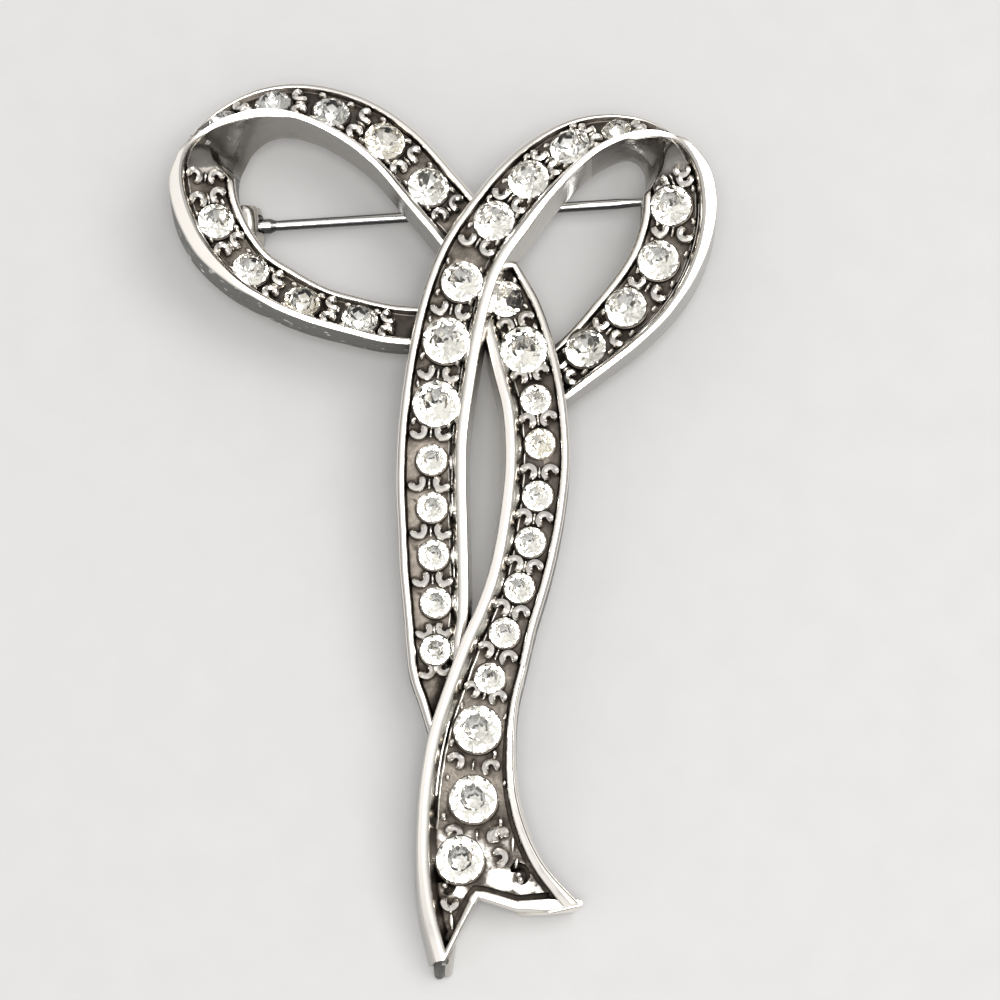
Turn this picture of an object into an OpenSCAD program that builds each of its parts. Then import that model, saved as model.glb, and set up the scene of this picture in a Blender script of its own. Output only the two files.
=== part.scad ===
// Bow brooch of white cast metal with clear stones and a hinged pin.
// It lies face up on its hinge, its catch and its two tail tips. X runs along the width, Y towards the loops
// and Z up. The origin is under the middle of its outline, on the surface that it lies on.

/* [Bow] */
// Width of the bow over both loops
brooch_w = 39; // [34:0.5:46]
// Height of the bow from the loops to the left tail tip
brooch_h = 63.5; // [56:0.5:75]
// Height of the highest ribbon above the surface
brooch_d = 10; // [9:0.25:12]
// Width of the set ribbon, from the front rim to the second rim
band_w = 4.2; // [3.9:0.1:4.8]
// Width of the bold front rim
rim_w = 0.68; // [0.5:0.02:0.9]
// Width of the thin second rim
edge_w = 0.42; // [0.3:0.02:0.55]
// Depth of the channel beside the front rim
rim_depth = 0.95; // [0.6:0.05:1.2]
// Depth of the channel beside the second rim
edge_depth = 0.45; // [0.3:0.05:0.6]

/* [Stones] */
// Diameter of the small stones of the strands
stone_small = 2.15; // [1.8:0.05:2.3]
// Diameter of the stones of the left loop
stone_loop = 2.6; // [2.2:0.05:2.8]
// Diameter of the stones where the ribbons cross and of the right loop
stone_cross = 2.95; // [2.5:0.05:3.1]
// Diameter of the large stones of the tail
stone_large = 3.35; // [2.8:0.05:3.5]
// Air between a stone and its seat
seat_gap = 0.05; // [0.03:0.01:0.08]
// Diameter of the cast beads between the stones
bead_d = 0.72; // [0.5:0.02:0.9]

/* [Pin] */
// Diameter of the pin wire
pin_d = 0.75; // [0.6:0.05:0.9]
// Distance from the hinge rivet to the middle of the catch
catch_reach = 30.8; // [30.4:0.1:31.2]
// How far the tip of the pin stands out of the catch
tip_over = 0.3; // [0.1:0.1:0.8]
// Length of the tapered point
point_len = 5; // [3:0.5:7]
// Diameter of the shank between the eye and the wire
shank_d = 1.08; // [1.06:0.02:1.12]
// Distance from the rivet to the end of the shank
shank_len = 2.2; // [2:0.1:3]
// Diameter of the eye of the pin
eye_d = 1.9; // [1.7:0.1:2.2]
// Width of the eye of the pin
eye_w = 1.2; // [1.1:0.1:1.4]
// Diameter of the hinge rivet
rivet_d = 0.7; // [0.5:0.05:0.9]
// Running clearance at the rivet and beside the eye
run_gap = 0.06; // [0.04:0.01:0.1]
// Thickness of an ear of the hinge and of a cheek of the catch
ear_t = 0.6; // [0.5:0.05:0.8]
// Length of the hinge and of the catch along the pin
ear_len = 2.4; // [2.2:0.1:3]
// Height of the wire above the surface
pin_z = 1.7; // [1.5:0.1:1.9]
// Thickness of the plates on the back
plate_t = 0.5; // [0.4:0.05:0.6]
// Length of the hinge plate from the rivet to the outside of the loop
plate_back = 4.1; // [3.6:0.1:4.3]
// Gap between the plates and the back of the casting
back_gap = 0.03; // [0.02:0.01:0.05]
// Diameter of the heads of the rivet
head_d = 1.2; // [1.1:0.05:1.4]
// Thickness of the heads of the rivet
head_t = 0.25; // [0.15:0.05:0.35]

/* [Hidden] */
// Columns of a ribbon table. X and Y are the place of the front rim, as shares of brooch_w and brooch_h from the
// middle. TOP and FOOT are the heights of the front rim and of the back, as shares of brooch_d. TURN is the
// compass angle of the outer side. OUT and IN are the reach of the outer and inner sides from the front rim, and
// DROP is how far the second rim lies below it, as shares of band_w. FACE is 1 where the stones lie on the outer
// side, and -1 where they lie on the inner side.
X = 0;
Y = 1;
TOP = 2;
TURN = 3;
OUT = 4;
IN = 5;
DROP = 6;
FOOT = 7;
FACE = 8;

// First ribbon: left loop from below, then the right-hand strand down to the fork
FIRST = [
    [-0.030, 0.209, 0.69, 262, 0.07, 0.74, 0.52, 0.38, -1],
    [-0.100, 0.212, 0.72, 262, 0.07, 0.74, 0.57, 0.36, -1],
    [-0.167, 0.221, 0.76, 256, 0.07, 0.73, 0.60, 0.36, -1],
    [-0.235, 0.232, 0.79, 250, 0.07, 0.74, 0.62, 0.36, -1],
    [-0.304, 0.249, 0.82, 243, 0.08, 0.79, 0.55, 0.36, -1],
    [-0.368, 0.274, 0.84, 231, 0.15, 0.79, 0.48, 0.36, -1],
    [-0.425, 0.311, 0.85, 216, 0.23, 0.86, 0.38, 0.36, -1],
    [-0.460, 0.351, 0.86, 202, 0.26, 0.90, 0.34, 0.36, -1],
    [-0.476, 0.391, 0.86, 182, 0.23, 0.94, 0.38, 0.36, -0.9],
    [-0.467, 0.423, 0.87, 163, 0.22, 0.92, 0.57, 0.36, -0.3],
    [-0.430, 0.446, 0.88, 149, 0.31, 0.74, 0.67, 0.36, 0.4],
    [-0.377, 0.463, 0.88, 130, 0.45, 0.46, 0.74, 0.36, 0.9],
    [-0.315, 0.470, 0.88, 106, 0.62, 0.23, 0.76, 0.37, 1],
    [-0.249, 0.462, 0.87, 84, 0.79, 0.13, 0.69, 0.38, 1],
    [-0.176, 0.440, 0.85, 59, 0.92, 0.12, 0.57, 0.39, 1],
    [-0.112, 0.409, 0.82, 46, 0.96, 0.12, 0.47, 0.39, 1],
    [-0.048, 0.363, 0.77, 40, 0.97, 0.12, 0.36, 0.38, 1],
    [0.012, 0.319, 0.72, 37, 0.95, 0.14, 0.26, 0.36, 1],
    [0.056, 0.275, 0.69, 30, 0.92, 0.17, 0.19, 0.35, 1],
    [0.087, 0.229, 0.70, 19, 0.99, 0.16, 0.14, 0.37, 1],
    [0.109, 0.174, 0.74, 13, 1.02, 0.16, 0.10, 0.40, 1],
    [0.127, 0.124, 0.77, 7, 0.98, 0.16, 0.07, 0.42, 1],
    [0.131, 0.066, 0.79, -2, 0.98, 0.16, 0.07, 0.44, 1],
    [0.122, 0.008, 0.80, -9, 0.96, 0.16, 0.07, 0.45, 1],
    [0.105, -0.049, 0.79, -14, 0.93, 0.16, 0.07, 0.44, 1],
    [0.081, -0.094, 0.78, -20, 0.95, 0.16, 0.07, 0.42, 1],
    [0.052, -0.134, 0.76, -22, 1.08, 0.16, 0.07, 0.40, 1],
    [0.023, -0.181, 0.73, -19, 1.18, 0.16, 0.07, 0.37, 1],
    [-0.003, -0.229, 0.69, -14, 1.36, 0.16, 0.07, 0.33, 1],
    [-0.019, -0.279, 0.63, -8, 1.52, 0.16, 0.07, 0.27, 1],
    [-0.026, -0.328, 0.56, -3, 1.73, 0.16, 0.08, 0.20, 1],
    [-0.026, -0.378, 0.48, 0, 2.05, 0.17, 0.11, 0.13, 1],
    [-0.017, -0.421, 0.40, 0, 2.50, 0.20, 0.16, 0.06, 1],
    [-0.001, -0.459, 0.33, 0, 2.80, 0.24, 0.19, 0.02, 1],
    [0.010, -0.482, 0.30, 0, 2.95, 0.26, 0.19, 0, 1],
];

// Second ribbon: left-hand strand from its hidden lower end, then the right loop from above
SECOND = [
    [0.052, -0.225, 0.49, 207, 0.65, 0.16, 0.07, 0.29, 1],
    [0.041, -0.186, 0.53, 199, 0.72, 0.16, 0.09, 0.31, 1],
    [0.036, -0.156, 0.58, 192, 0.83, 0.16, 0.11, 0.33, 1],
    [0.036, -0.130, 0.63, 187, 0.88, 0.16, 0.13, 0.35, 1],
    [0.043, -0.099, 0.67, 184, 0.98, 0.16, 0.15, 0.38, 1],
    [0.043, -0.052, 0.72, 181, 1.05, 0.16, 0.17, 0.41, 1],
    [0.041, -0.002, 0.77, 179, 1.07, 0.16, 0.18, 0.43, 1],
    [0.039, 0.048, 0.82, 178, 1.08, 0.16, 0.19, 0.46, 1],
    [0.041, 0.098, 0.86, 176, 1.07, 0.16, 0.20, 0.49, 1],
    [0.052, 0.149, 0.90, 172, 1.09, 0.16, 0.21, 0.52, 1],
    [0.067, 0.205, 0.94, 168, 1.08, 0.16, 0.22, 0.54, 1],
    [0.087, 0.256, 0.98, 163, 1.05, 0.16, 0.24, 0.55, 1],
    [0.112, 0.293, 1.00, 153, 1.03, 0.16, 0.26, 0.54, 1],
    [0.151, 0.329, 0.99, 144, 1.03, 0.17, 0.31, 0.50, 1],
    [0.195, 0.365, 0.97, 139, 1.02, 0.14, 0.38, 0.45, 1],
    [0.242, 0.398, 0.95, 133, 0.96, 0.12, 0.55, 0.41, 1],
    [0.293, 0.425, 0.93, 121, 0.81, 0.12, 0.69, 0.38, 1],
    [0.350, 0.441, 0.91, 103, 0.57, 0.18, 0.76, 0.37, 1],
    [0.405, 0.443, 0.90, 68, 0.28, 0.62, 0.70, 0.36, 0.6],
    [0.450, 0.429, 0.89, 46, 0.21, 1.00, 0.52, 0.36, -0.4],
    [0.478, 0.399, 0.88, 20, 0.22, 1.04, 0.38, 0.36, -0.9],
    [0.487, 0.361, 0.87, -1, 0.22, 1.07, 0.33, 0.36, -1],
    [0.480, 0.321, 0.86, -15, 0.18, 1.10, 0.31, 0.36, -1],
    [0.456, 0.279, 0.84, -26, 0.14, 1.11, 0.33, 0.36, -1],
    [0.414, 0.239, 0.82, -37, 0.10, 1.11, 0.36, 0.36, -1],
    [0.359, 0.206, 0.79, -46, 0.08, 1.05, 0.42, 0.36, -1],
    [0.297, 0.177, 0.75, -52, 0.08, 0.93, 0.48, 0.37, -1],
    [0.239, 0.151, 0.71, -55, 0.08, 0.88, 0.52, 0.38, -1],
    [0.199, 0.134, 0.69, -55, 0.08, 0.84, 0.52, 0.39, -1],
];

// Rings between two rows of a table, and parts into which a run of stones is split to measure it
STEPS = 2;
RUN_PARTS = 40;

// Shape of a section: how far the channel's walls lean, as shares of their depths, how far the rims slope, as
// shares of their widths, and the least overlap of the foot with the set side in mm
RIM_LEAN = 0.25;
EDGE_LEAN = 0.2;
RIM_SLOPE = [0.12, 0.4];
EDGE_SLOPE = 0.2;
RIM_FLAT = 0.3;
FOOT_LAP = 0.05;

// Runs of stones: the ribbon, the side, the rows of the first and the last stone, the share of the way across
// the channel, and the stones by size, which stand with equal gaps between them
RUNS = [
    [FIRST, -1, 1.8, 6.55, 0.5, [stone_loop, stone_loop, stone_loop, stone_loop]],
    [FIRST, 1, 10.65, 15.85, 0.5, [stone_small, stone_loop, stone_loop, stone_cross, stone_cross]],
    [FIRST, 1, 18.6, 21.6, 0.5, [stone_loop, stone_large, stone_small, stone_small]],
    [FIRST, 1, 22.55, 26.55, 0.5, [stone_small, stone_small, stone_small, stone_small, stone_small]],
    [FIRST, 1, 27.75, 29.4, 0.5, [stone_large, stone_large]],
    [FIRST, 1, 30.8, 30.8, 0.28, [stone_large]],
    [SECOND, 1, 2.85, 11.1, 0.46, [
        stone_small, stone_small, stone_small, stone_small, stone_small, stone_large, stone_large, stone_cross,
    ]],
    [SECOND, 1, 12.8, 16.7, 0.5, [stone_cross, stone_cross, stone_cross, stone_small]],
    [SECOND, -1, 20.95, 25.95, 0.6, [stone_cross, stone_cross, stone_cross, stone_cross]],
];

// Beads of the fork: the row of the first ribbon and the share of the way across it
FORK_BEADS = [[30.45, 0.69], [31.0, 0.62], [31.35, 0.72], [31.75, 0.16], [32.1, 0.15]];

// Points of the fork's end, from the left tip over the notch to the right tip: shares of brooch_w and brooch_h,
// and the height as a share of brooch_d
FORK = [
    [0.010, -0.478, 0.30],
    [0.036, -0.446, 0.34],
    [0.070, -0.408, 0.40],
    [0.140, -0.423, 0.36],
    [0.202, -0.432, 0.33],
    [0.253, -0.428, 0.31],
];

// Left tip: diameter of its foot, how far it stands out below the rim, how far it runs up the tail and how far
// it lies left of the rim. Right tip: diameter of its foot, how far it starts and ends left of the tip and how
// far above it.
LEFT_D = 1.2;
LEFT_OUT = 0.7;
LEFT_UP = 2;
LEFT_SIDE = [0.3, 0.4];
RIGHT_D = 1;
RIGHT_RUN = [0.5, 3.2];
RIGHT_UP = 0.1;
FOOT_H = 0.5;
// Slope of the cut past both tips, and how far the cut goes below and above the bow
FORK_FALL = 0.2;
CUT_OVER = 1;

// Cast bead, as shares of its diameter: depth in the floor, height of its side, height and width of its top
BEAD_SINK = 0.15;
BEAD_SIDE = 0.15;
BEAD_HIGH = 0.5;
BEAD_TOP = 0.5;
// Shares of the way across the channel at which a pair of beads stands, and the rows within which a run follows
PAIR = [0.26, 0.74];
NEXT_RUN = 2;

// Cut of a stone, as shares of its diameter
TABLE_SHARE = 0.56;
CROWN_SHARE = 0.19;
GIRDLE_SHARE = 0.06;
PAVILION_SHARE = 0.36;
FACETS = 8;
// Height of the stone's girdle above the channel floor
GIRDLE_RISE = 0.12;
// Sides of a seat, and how much wider its corners are than the stone
SEAT_SIDES = 12;
SEAT_WIDER = 1.036;

// Place of the hinge rivet, as shares of brooch_w and brooch_h, and the pin's turn from the X axis
HINGE = [-0.363, 0.361];
PIN_TURN = 3.8;
// Height of the loops' back, as in the FOOT column
BACK = 0.36;
// Diameter of the pin's tip, as a share of pin_d, and length of the shank's tapered end
TIP_SHARE = 0.2;
SHANK_TAPER = 0.4;
// Cut corners of a cheek, as a share of ear_len
CORNER = 0.2;
// Sides of round pieces, and of the small feet and balls of the tail
ROUND = 48;
FOOT_ROUND = 12;
BALL_ROUND = 8;

back_z = brooch_d * BACK;
bore_d = rivet_d + 2 * run_gap;
cheek_y = eye_w / 2 + run_gap + ear_t / 2;
outside = 2 * cheek_y + ear_t;

function mix(a, b, k) = a + (b - a) * k;

// Smooth curve through four rows, between the second and the third
function curve(a, b, c, d, k) =
    b + k / 2 * ((c - a) + k * ((2 * a - 5 * b + 4 * c - d) + k * (3 * (b - c) + d - a)));

function row(table, t) =
    let (
        last = len(table) - 1,
        i = min(floor(t), last - 1)
    )
    curve(table[max(i - 1, 0)], table[i], table[i + 1], table[min(i + 2, last)], t - i);

function reach(r, side) = band_w * (side > 0 ? r[OUT] : r[IN]);

// How much of the channel a side has, from 0 where it is a plain wall to 1 where it is set with stones
function channel(r, side) = max(0, min(1, (1 + side * r[FACE]) / 2));

// Place on the sloping side of a ribbon: s mm out from the front rim and h mm off the slope, as [out, height]
function on_slope(r, side, s, h) =
    let (
        w = reach(r, side),
        d = band_w * r[DROP],
        long = norm([w, d])
    )
    [s / long * w + h * d / long, -s / long * d + h * w / long];

function slope_length(r, side) = norm([reach(r, side), band_w * r[DROP]]);

// One side of a section, from the front rim to the foot, as [out, height below the front rim]
function half_section(r, side) =
    let (
        w = reach(r, side),
        fall = brooch_d * (r[TOP] - r[FOOT]),
        long = slope_length(r, side),
        k = channel(r, side),
        set = [
            on_slope(r, side, rim_w / 2, -RIM_SLOPE[0] * rim_w),
            on_slope(r, side, rim_w / 2 + RIM_LEAN * rim_depth, -rim_depth),
            on_slope(r, side, long - edge_w - EDGE_LEAN * edge_depth, -edge_depth),
            on_slope(r, side, long - edge_w, 0),
            on_slope(r, side, long - edge_w / 2, EDGE_SLOPE * edge_w),
            on_slope(r, side, long, -EDGE_SLOPE * edge_w),
        ],
        plain = [for (i = [0:5]) mix([rim_w / 2, -RIM_SLOPE[1] * rim_w], [w, -fall], i / 6)]
    )
    concat(
        [for (i = [0:5]) mix(plain[i], set[i], k)],
        [[max(w, rim_w / 2) + k * FOOT_LAP, -fall]]
    );

// A point of a section in space
function placed(r, side, p) =
    [
        brooch_w * r[X] + side * p[0] * cos(r[TURN]),
        brooch_h * r[Y] + side * p[0] * sin(r[TURN]),
        brooch_d * r[TOP] + p[1],
    ];

function section(r) =
    let (
        outer = half_section(r, 1),
        inner = half_section(r, -1)
    )
    concat(
        [for (i = [6:-1:0]) placed(r, -1, inner[i])],
        [placed(r, -1, [RIM_FLAT * rim_w, 0]), placed(r, 1, [RIM_FLAT * rim_w, 0])],
        [for (i = [0:6]) placed(r, 1, outer[i])]
    );

function rings(table) = [for (j = [0:(len(table) - 1) * STEPS]) section(row(table, j / STEPS))];

// Middle of the outline of both ribbons, which becomes the origin
OUTLINE = concat(
    [for (ring = rings(SECOND), p = ring) p],
    [for (ring = rings(FIRST), p = ring) if (p[1] > brooch_h * FORK[0][1]) p],
    [[brooch_w * FORK[0][0], brooch_h * FORK[0][1] - LEFT_OUT - LEFT_D / 2]]
);
MIDDLE = [
    for (axis = [0, 1])
        (min([for (p = OUTLINE) p[axis]]) + max([for (p = OUTLINE) p[axis]])) / 2
];

// Point of the channel floor: the share s of the way across, and h mm above the floor
function on_floor(table, side, t, s, h) =
    let (
        r = row(table, t),
        long = slope_length(r, side),
        from = on_slope(r, side, rim_w / 2 + RIM_LEAN * rim_depth, -rim_depth),
        to = on_slope(r, side, long - edge_w - EDGE_LEAN * edge_depth, -edge_depth),
        along = (to - from) / norm(to - from)
    )
    placed(r, side, mix(from, to, s) + h * [-along[1], along[0]]);

// Direction away from the floor at its middle
function floor_normal(table, side, t) =
    on_floor(table, side, t, 0.5, 1) - on_floor(table, side, t, 0.5, 0);

function sums(v, i = 0, total = 0) = i >= len(v) ? [total] : concat([total], sums(v, i + 1, total + v[i]));

// Length along the middle of a run's floor, against the row
function run_lengths(run) =
    let (
        rows = [for (k = [0:RUN_PARTS]) mix(run[2], run[3], k / RUN_PARTS)],
        places = [for (t = rows) on_floor(run[0], run[1], t, run[4], 0)],
        steps = [for (i = [1:len(places) - 1]) norm(places[i] - places[i - 1])],
        lengths = sums(steps)
    )
    [for (i = [0:len(rows) - 1]) [lengths[i], rows[i]]];

// Every stone of a run, as [table, side, row, share across, diameter]
function run_stones(run) =
    let (
        sizes = run[5],
        last = len(sizes) - 1,
        halves = last < 1 ? [] : [for (i = [1:last]) (sizes[i - 1] + sizes[i]) / 2],
        lengths = run_lengths(run),
        room = lengths[RUN_PARTS][0] - sums(halves)[last],
        places = sums([for (half = halves) half + room / last])
    )
    [for (i = [0:last]) [run[0], run[1], lookup(places[i], lengths), run[4], sizes[i]]];

STONES = [for (run = RUNS, stone = run_stones(run)) stone];

// Row halfway between two stones of a run, and past its two ends
function run_gaps(run) =
    let (
        set = run_stones(run),
        n = len(set),
        rows = [for (stone = set) stone[2]]
    )
    n < 2 ? [] : concat(
        [rows[0] - (rows[1] - rows[0]) / 2],
        [for (i = [1:n - 1]) (rows[i - 1] + rows[i]) / 2],
        [rows[n - 1] + (rows[n - 1] - rows[n - 2]) / 2]
    );

function stone_name(i) = str("stone_", i < 9 ? "0" : "", i + 1);

// Stands a shape on the channel floor, with its Z away from the floor
module on_channel(table, side, t, s, h) {
    n = floor_normal(table, side, t);
    translate(on_floor(table, side, t, s, h))
        rotate([0, acos(n[2]), atan2(n[1], n[0])])
            children();
}

// Moves the outline's middle to the origin
module centred() {
    translate([-MIDDLE[0], -MIDDLE[1], 0])
        children();
}

// One ribbon, swept through its rings
module swept(table) {
    all = rings(table);
    n = len(all[0]);
    last = len(all) - 1;
    points = [for (ring = all, p = ring) p];
    walls = [
        for (j = [0:last - 1], i = [0:n - 1])
            let (
                a = j * n + i,
                b = j * n + (i + 1) % n,
                c = (j + 1) * n + (i + 1) % n,
                d = (j + 1) * n + i
            )
            each [[a, b, c], [a, c, d]]
    ];
    ends = [[for (i = [n - 1:-1:0]) i], [for (i = [0:n - 1]) last * n + i]];
    polyhedron(points = points, faces = concat(walls, ends), convexity = 12);
}

// Room below the fork's end, cut away from the first ribbon
module fork_gap() {
    outline = [for (p = FORK) [brooch_w * p[0], brooch_h * p[1]]];
    far = brooch_w;
    tip = outline[0];
    end = outline[len(outline) - 1];
    translate([0, 0, -CUT_OVER])
        linear_extrude(brooch_d + 2 * CUT_OVER)
            polygon(concat(
                outline,
                [[far, end[1] - FORK_FALL * far], [far, -brooch_h]],
                [[-far, -brooch_h], [-far, tip[1] - FORK_FALL * far]]
            ));
}

function fork_point(i) = [brooch_w * FORK[i][0], brooch_h * FORK[i][1], brooch_d * FORK[i][2] - rim_w / 2];

module ball(i) {
    translate(fork_point(i))
        sphere(d = rim_w, $fn = BALL_ROUND);
}

// Rim that closes the fork's end, and the feet of its two tips
module fork_rim() {
    for (i = [1:len(FORK) - 1])
        hull() {
            ball(i - 1);
            ball(i);
        }
    left = fork_point(0);
    hull() {
        ball(0);
        translate([left[0] - LEFT_SIDE[1], left[1] + LEFT_UP, 0])
            cylinder(d = LEFT_D, h = LEFT_D, $fn = FOOT_ROUND);
        translate([left[0] - LEFT_SIDE[0], left[1] - LEFT_OUT, 0])
            cylinder(d = LEFT_D, h = FOOT_H, $fn = FOOT_ROUND);
    }
    right = fork_point(len(FORK) - 1);
    hull() {
        ball(len(FORK) - 1);
        for (run = RIGHT_RUN)
            translate([right[0] - run, right[1] + RIGHT_UP, 0])
                cylinder(d = RIGHT_D, h = FOOT_H, $fn = FOOT_ROUND);
    }
}

// A cast bead, sunk into the channel floor
module bead() {
    hull() {
        translate([0, 0, -BEAD_SINK * bead_d])
            cylinder(d = bead_d, h = (BEAD_SINK + BEAD_SIDE) * bead_d, $fn = BALL_ROUND);
        cylinder(d = BEAD_TOP * bead_d, h = BEAD_HIGH * bead_d, $fn = BALL_ROUND);
    }
}

// Whether the next run follows in the same channel, so that its first beads are also the last of this one
function goes_on(i) =
    let (
        run = RUNS[i],
        next = RUNS[i + 1]
    )
    i + 1 < len(RUNS) && next[0] == run[0] && next[1] == run[1] && next[2] - run[3] < NEXT_RUN
        && len(next[5]) > 1;

// Pairs of beads between the stones of a run
module bead_pairs(i) {
    run = RUNS[i];
    gaps = run_gaps(run);
    for (j = [0:1:len(gaps) - (goes_on(i) ? 2 : 1)], s = PAIR)
        on_channel(run[0], run[1], gaps[j], s, 0)
            bead();
}

// Room for a stone, from below its point to above its crown
module seat(size) {
    r = (size / 2 + seat_gap) * SEAT_WIDER;
    depth = PAVILION_SHARE * size + 2 * seat_gap;
    translate([0, 0, GIRDLE_RISE]) {
        cylinder(r = r, h = (GIRDLE_SHARE + CROWN_SHARE) * size + seat_gap, $fn = SEAT_SIDES);
        translate([0, 0, -depth])
            cylinder(r1 = 2 * seat_gap, r2 = r, h = depth, $fn = SEAT_SIDES);
    }
}

module ribbon() {
    color("silver")
        centred()
            difference() {
                union() {
                    difference() {
                        swept(FIRST);
                        fork_gap();
                    }
                    swept(SECOND);
                    fork_rim();
                    for (i = [0:len(RUNS) - 1])
                        bead_pairs(i);
                    for (b = FORK_BEADS)
                        on_channel(FIRST, 1, b[0], b[1], 0)
                            bead();
                }
                for (stone = STONES)
                    on_channel(stone[0], stone[1], stone[2], stone[3], 0)
                        seat(stone[4]);
            }
}

// A cut stone: a flat table, a ring of crown facets, a thin girdle and a pointed pavilion
module cut_stone(size) {
    function ring(r, z) =
        [for (i = [0:FACETS - 1]) [r * cos(i * 360 / FACETS), r * sin(i * 360 / FACETS), z]];
    girdle = GIRDLE_SHARE * size;
    crown = girdle + CROWN_SHARE * size;
    points = concat(
        ring(TABLE_SHARE * size / 2, crown),
        ring(size / 2, girdle),
        ring(size / 2, 0),
        [[0, 0, -PAVILION_SHARE * size]]
    );
    bands = [
        for (level = [0, 1], i = [0:FACETS - 1])
            let (next = (i + 1) % FACETS)
            [level * FACETS + i, level * FACETS + next, (level + 1) * FACETS + next, (level + 1) * FACETS + i]
    ];
    pavilion = [for (i = [0:FACETS - 1]) [2 * FACETS + i, 2 * FACETS + (i + 1) % FACETS, 3 * FACETS]];
    table = [[for (i = [FACETS - 1:-1:0]) i]];
    polyhedron(points = points, faces = concat(table, bands, pavilion));
}

module stone(i) {
    place = STONES[i];
    color("azure")
        centred()
            on_channel(place[0], place[1], place[2], place[3], GIRDLE_RISE)
                cut_stone(place[4]);
}

// Stands a shape on the surface under the pin, with its X along the pin from the rivet
module under_pin() {
    centred()
        translate([brooch_w * HINGE[0], brooch_h * HINGE[1], 0])
            rotate([0, 0, PIN_TURN])
                children();
}

// Upright plate with a flat foot on the surface, from the middle x
module cheek(x, y) {
    half = ear_len / 2;
    cut = CORNER * ear_len;
    top = back_z - plate_t / 2;
    outline = [[-half, top], [-half, cut], [cut - half, 0], [half - cut, 0], [half, cut], [half, top]];
    translate([x, y + ear_t / 2, 0])
        rotate([90, 0, 0])
            linear_extrude(ear_t)
                polygon(outline);
}

// Plate on the back of the casting, with two cheeks below it
module bracket(x, from, to) {
    translate([from, -outside / 2, back_z - plate_t])
        cube([to - from, outside, plate_t - back_gap]);
    cheek(x, cheek_y);
    cheek(x, -cheek_y);
}

module across(d, length) {
    translate([0, length / 2, pin_z])
        rotate([90, 0, 0])
            cylinder(d = d, h = length, $fn = ROUND);
}

module hinge_bracket() {
    color("silver")
        under_pin()
            difference() {
                bracket(0, -plate_back, ear_len / 2);
                across(bore_d, 4 * cheek_y);
            }
}

module hinge_rivet() {
    inside = outside + run_gap;
    color("lightgray")
        under_pin() {
            across(rivet_d, inside + 2 * head_t);
            for (side = [-1, 1])
                translate([0, side * (inside + head_t) / 2, 0])
                    across(head_d, head_t);
        }
}

module pin_stem() {
    straight = catch_reach - ear_len / 2 - point_len / 2;
    tip = catch_reach + ear_len / 2 + tip_over;
    color("lightgray")
        under_pin()
            difference() {
                union() {
                    across(eye_d, eye_w);
                    translate([0, 0, pin_z])
                        rotate([0, 90, 0]) {
                            cylinder(d = shank_d, h = shank_len - SHANK_TAPER, $fn = ROUND);
                            translate([0, 0, shank_len - SHANK_TAPER])
                                cylinder(d1 = shank_d, d2 = pin_d, h = SHANK_TAPER, $fn = ROUND);
                            cylinder(d = pin_d, h = straight, $fn = ROUND);
                            translate([0, 0, straight])
                                cylinder(d1 = pin_d, d2 = TIP_SHARE * pin_d, h = tip - straight, $fn = ROUND);
                        }
                }
                across(bore_d, 2 * eye_w);
            }
}

module catch() {
    color("silver")
        under_pin()
            bracket(catch_reach, catch_reach - ear_len / 2, catch_reach + ear_len / 2);
}

ribbon();
hinge_bracket();
hinge_rivet();
pin_stem();
catch();
for (i = [0:len(STONES) - 1]) stone(i);
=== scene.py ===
"""Looks of a bow brooch: two cast ribbons with polished rims, curls and clear stones, and a hinged pin.

The bow and its stones are built again here from the same short tables as the solids, with finer sections,
rounded rims and cut facets. Sizes are in millimetres and become metres when a mesh is made.
"""

import math

import bmesh
import bpy
import numpy as np
from mathutils import Matrix, Vector, noise


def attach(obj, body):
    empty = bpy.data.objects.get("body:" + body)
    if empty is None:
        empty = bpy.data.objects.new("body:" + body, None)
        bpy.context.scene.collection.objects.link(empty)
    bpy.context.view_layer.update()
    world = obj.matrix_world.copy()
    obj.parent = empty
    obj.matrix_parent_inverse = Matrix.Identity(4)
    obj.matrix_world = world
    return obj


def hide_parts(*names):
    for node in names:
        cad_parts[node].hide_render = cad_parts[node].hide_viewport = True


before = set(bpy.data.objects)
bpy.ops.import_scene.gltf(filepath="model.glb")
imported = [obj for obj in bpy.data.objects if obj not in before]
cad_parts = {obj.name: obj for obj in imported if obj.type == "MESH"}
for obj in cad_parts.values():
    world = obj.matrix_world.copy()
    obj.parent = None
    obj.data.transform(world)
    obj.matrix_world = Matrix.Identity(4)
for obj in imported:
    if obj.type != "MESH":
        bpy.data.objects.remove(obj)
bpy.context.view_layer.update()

MM = 0.001

# Bow
BROOCH_W = 39
BROOCH_H = 63.5
BROOCH_D = 10
BAND_W = 4.2
RIM_W = 0.68
EDGE_W = 0.42
RIM_DEPTH = 0.95
EDGE_DEPTH = 0.45

# Stones
STONE_SMALL = 2.15
STONE_LOOP = 2.6
STONE_CROSS = 2.95
STONE_LARGE = 3.35
SEAT_GAP = 0.05
GIRDLE_RISE = 0.12

# Columns of a ribbon table. X and Y are the place of the front rim from the middle, as shares of the width
# and height. TOP and FOOT are the heights of the front rim and the back, as shares of its depth. TURN is the
# compass angle of the outer side. OUT and IN are the reach of the two sides from the front rim, and DROP is the
# fall to the second rim, as shares of BAND_W. FACE is 1 where the stones lie outside, and -1 where inside.
X, Y, TOP, TURN, OUT, IN, DROP, FOOT, FACE = range(9)

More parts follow.
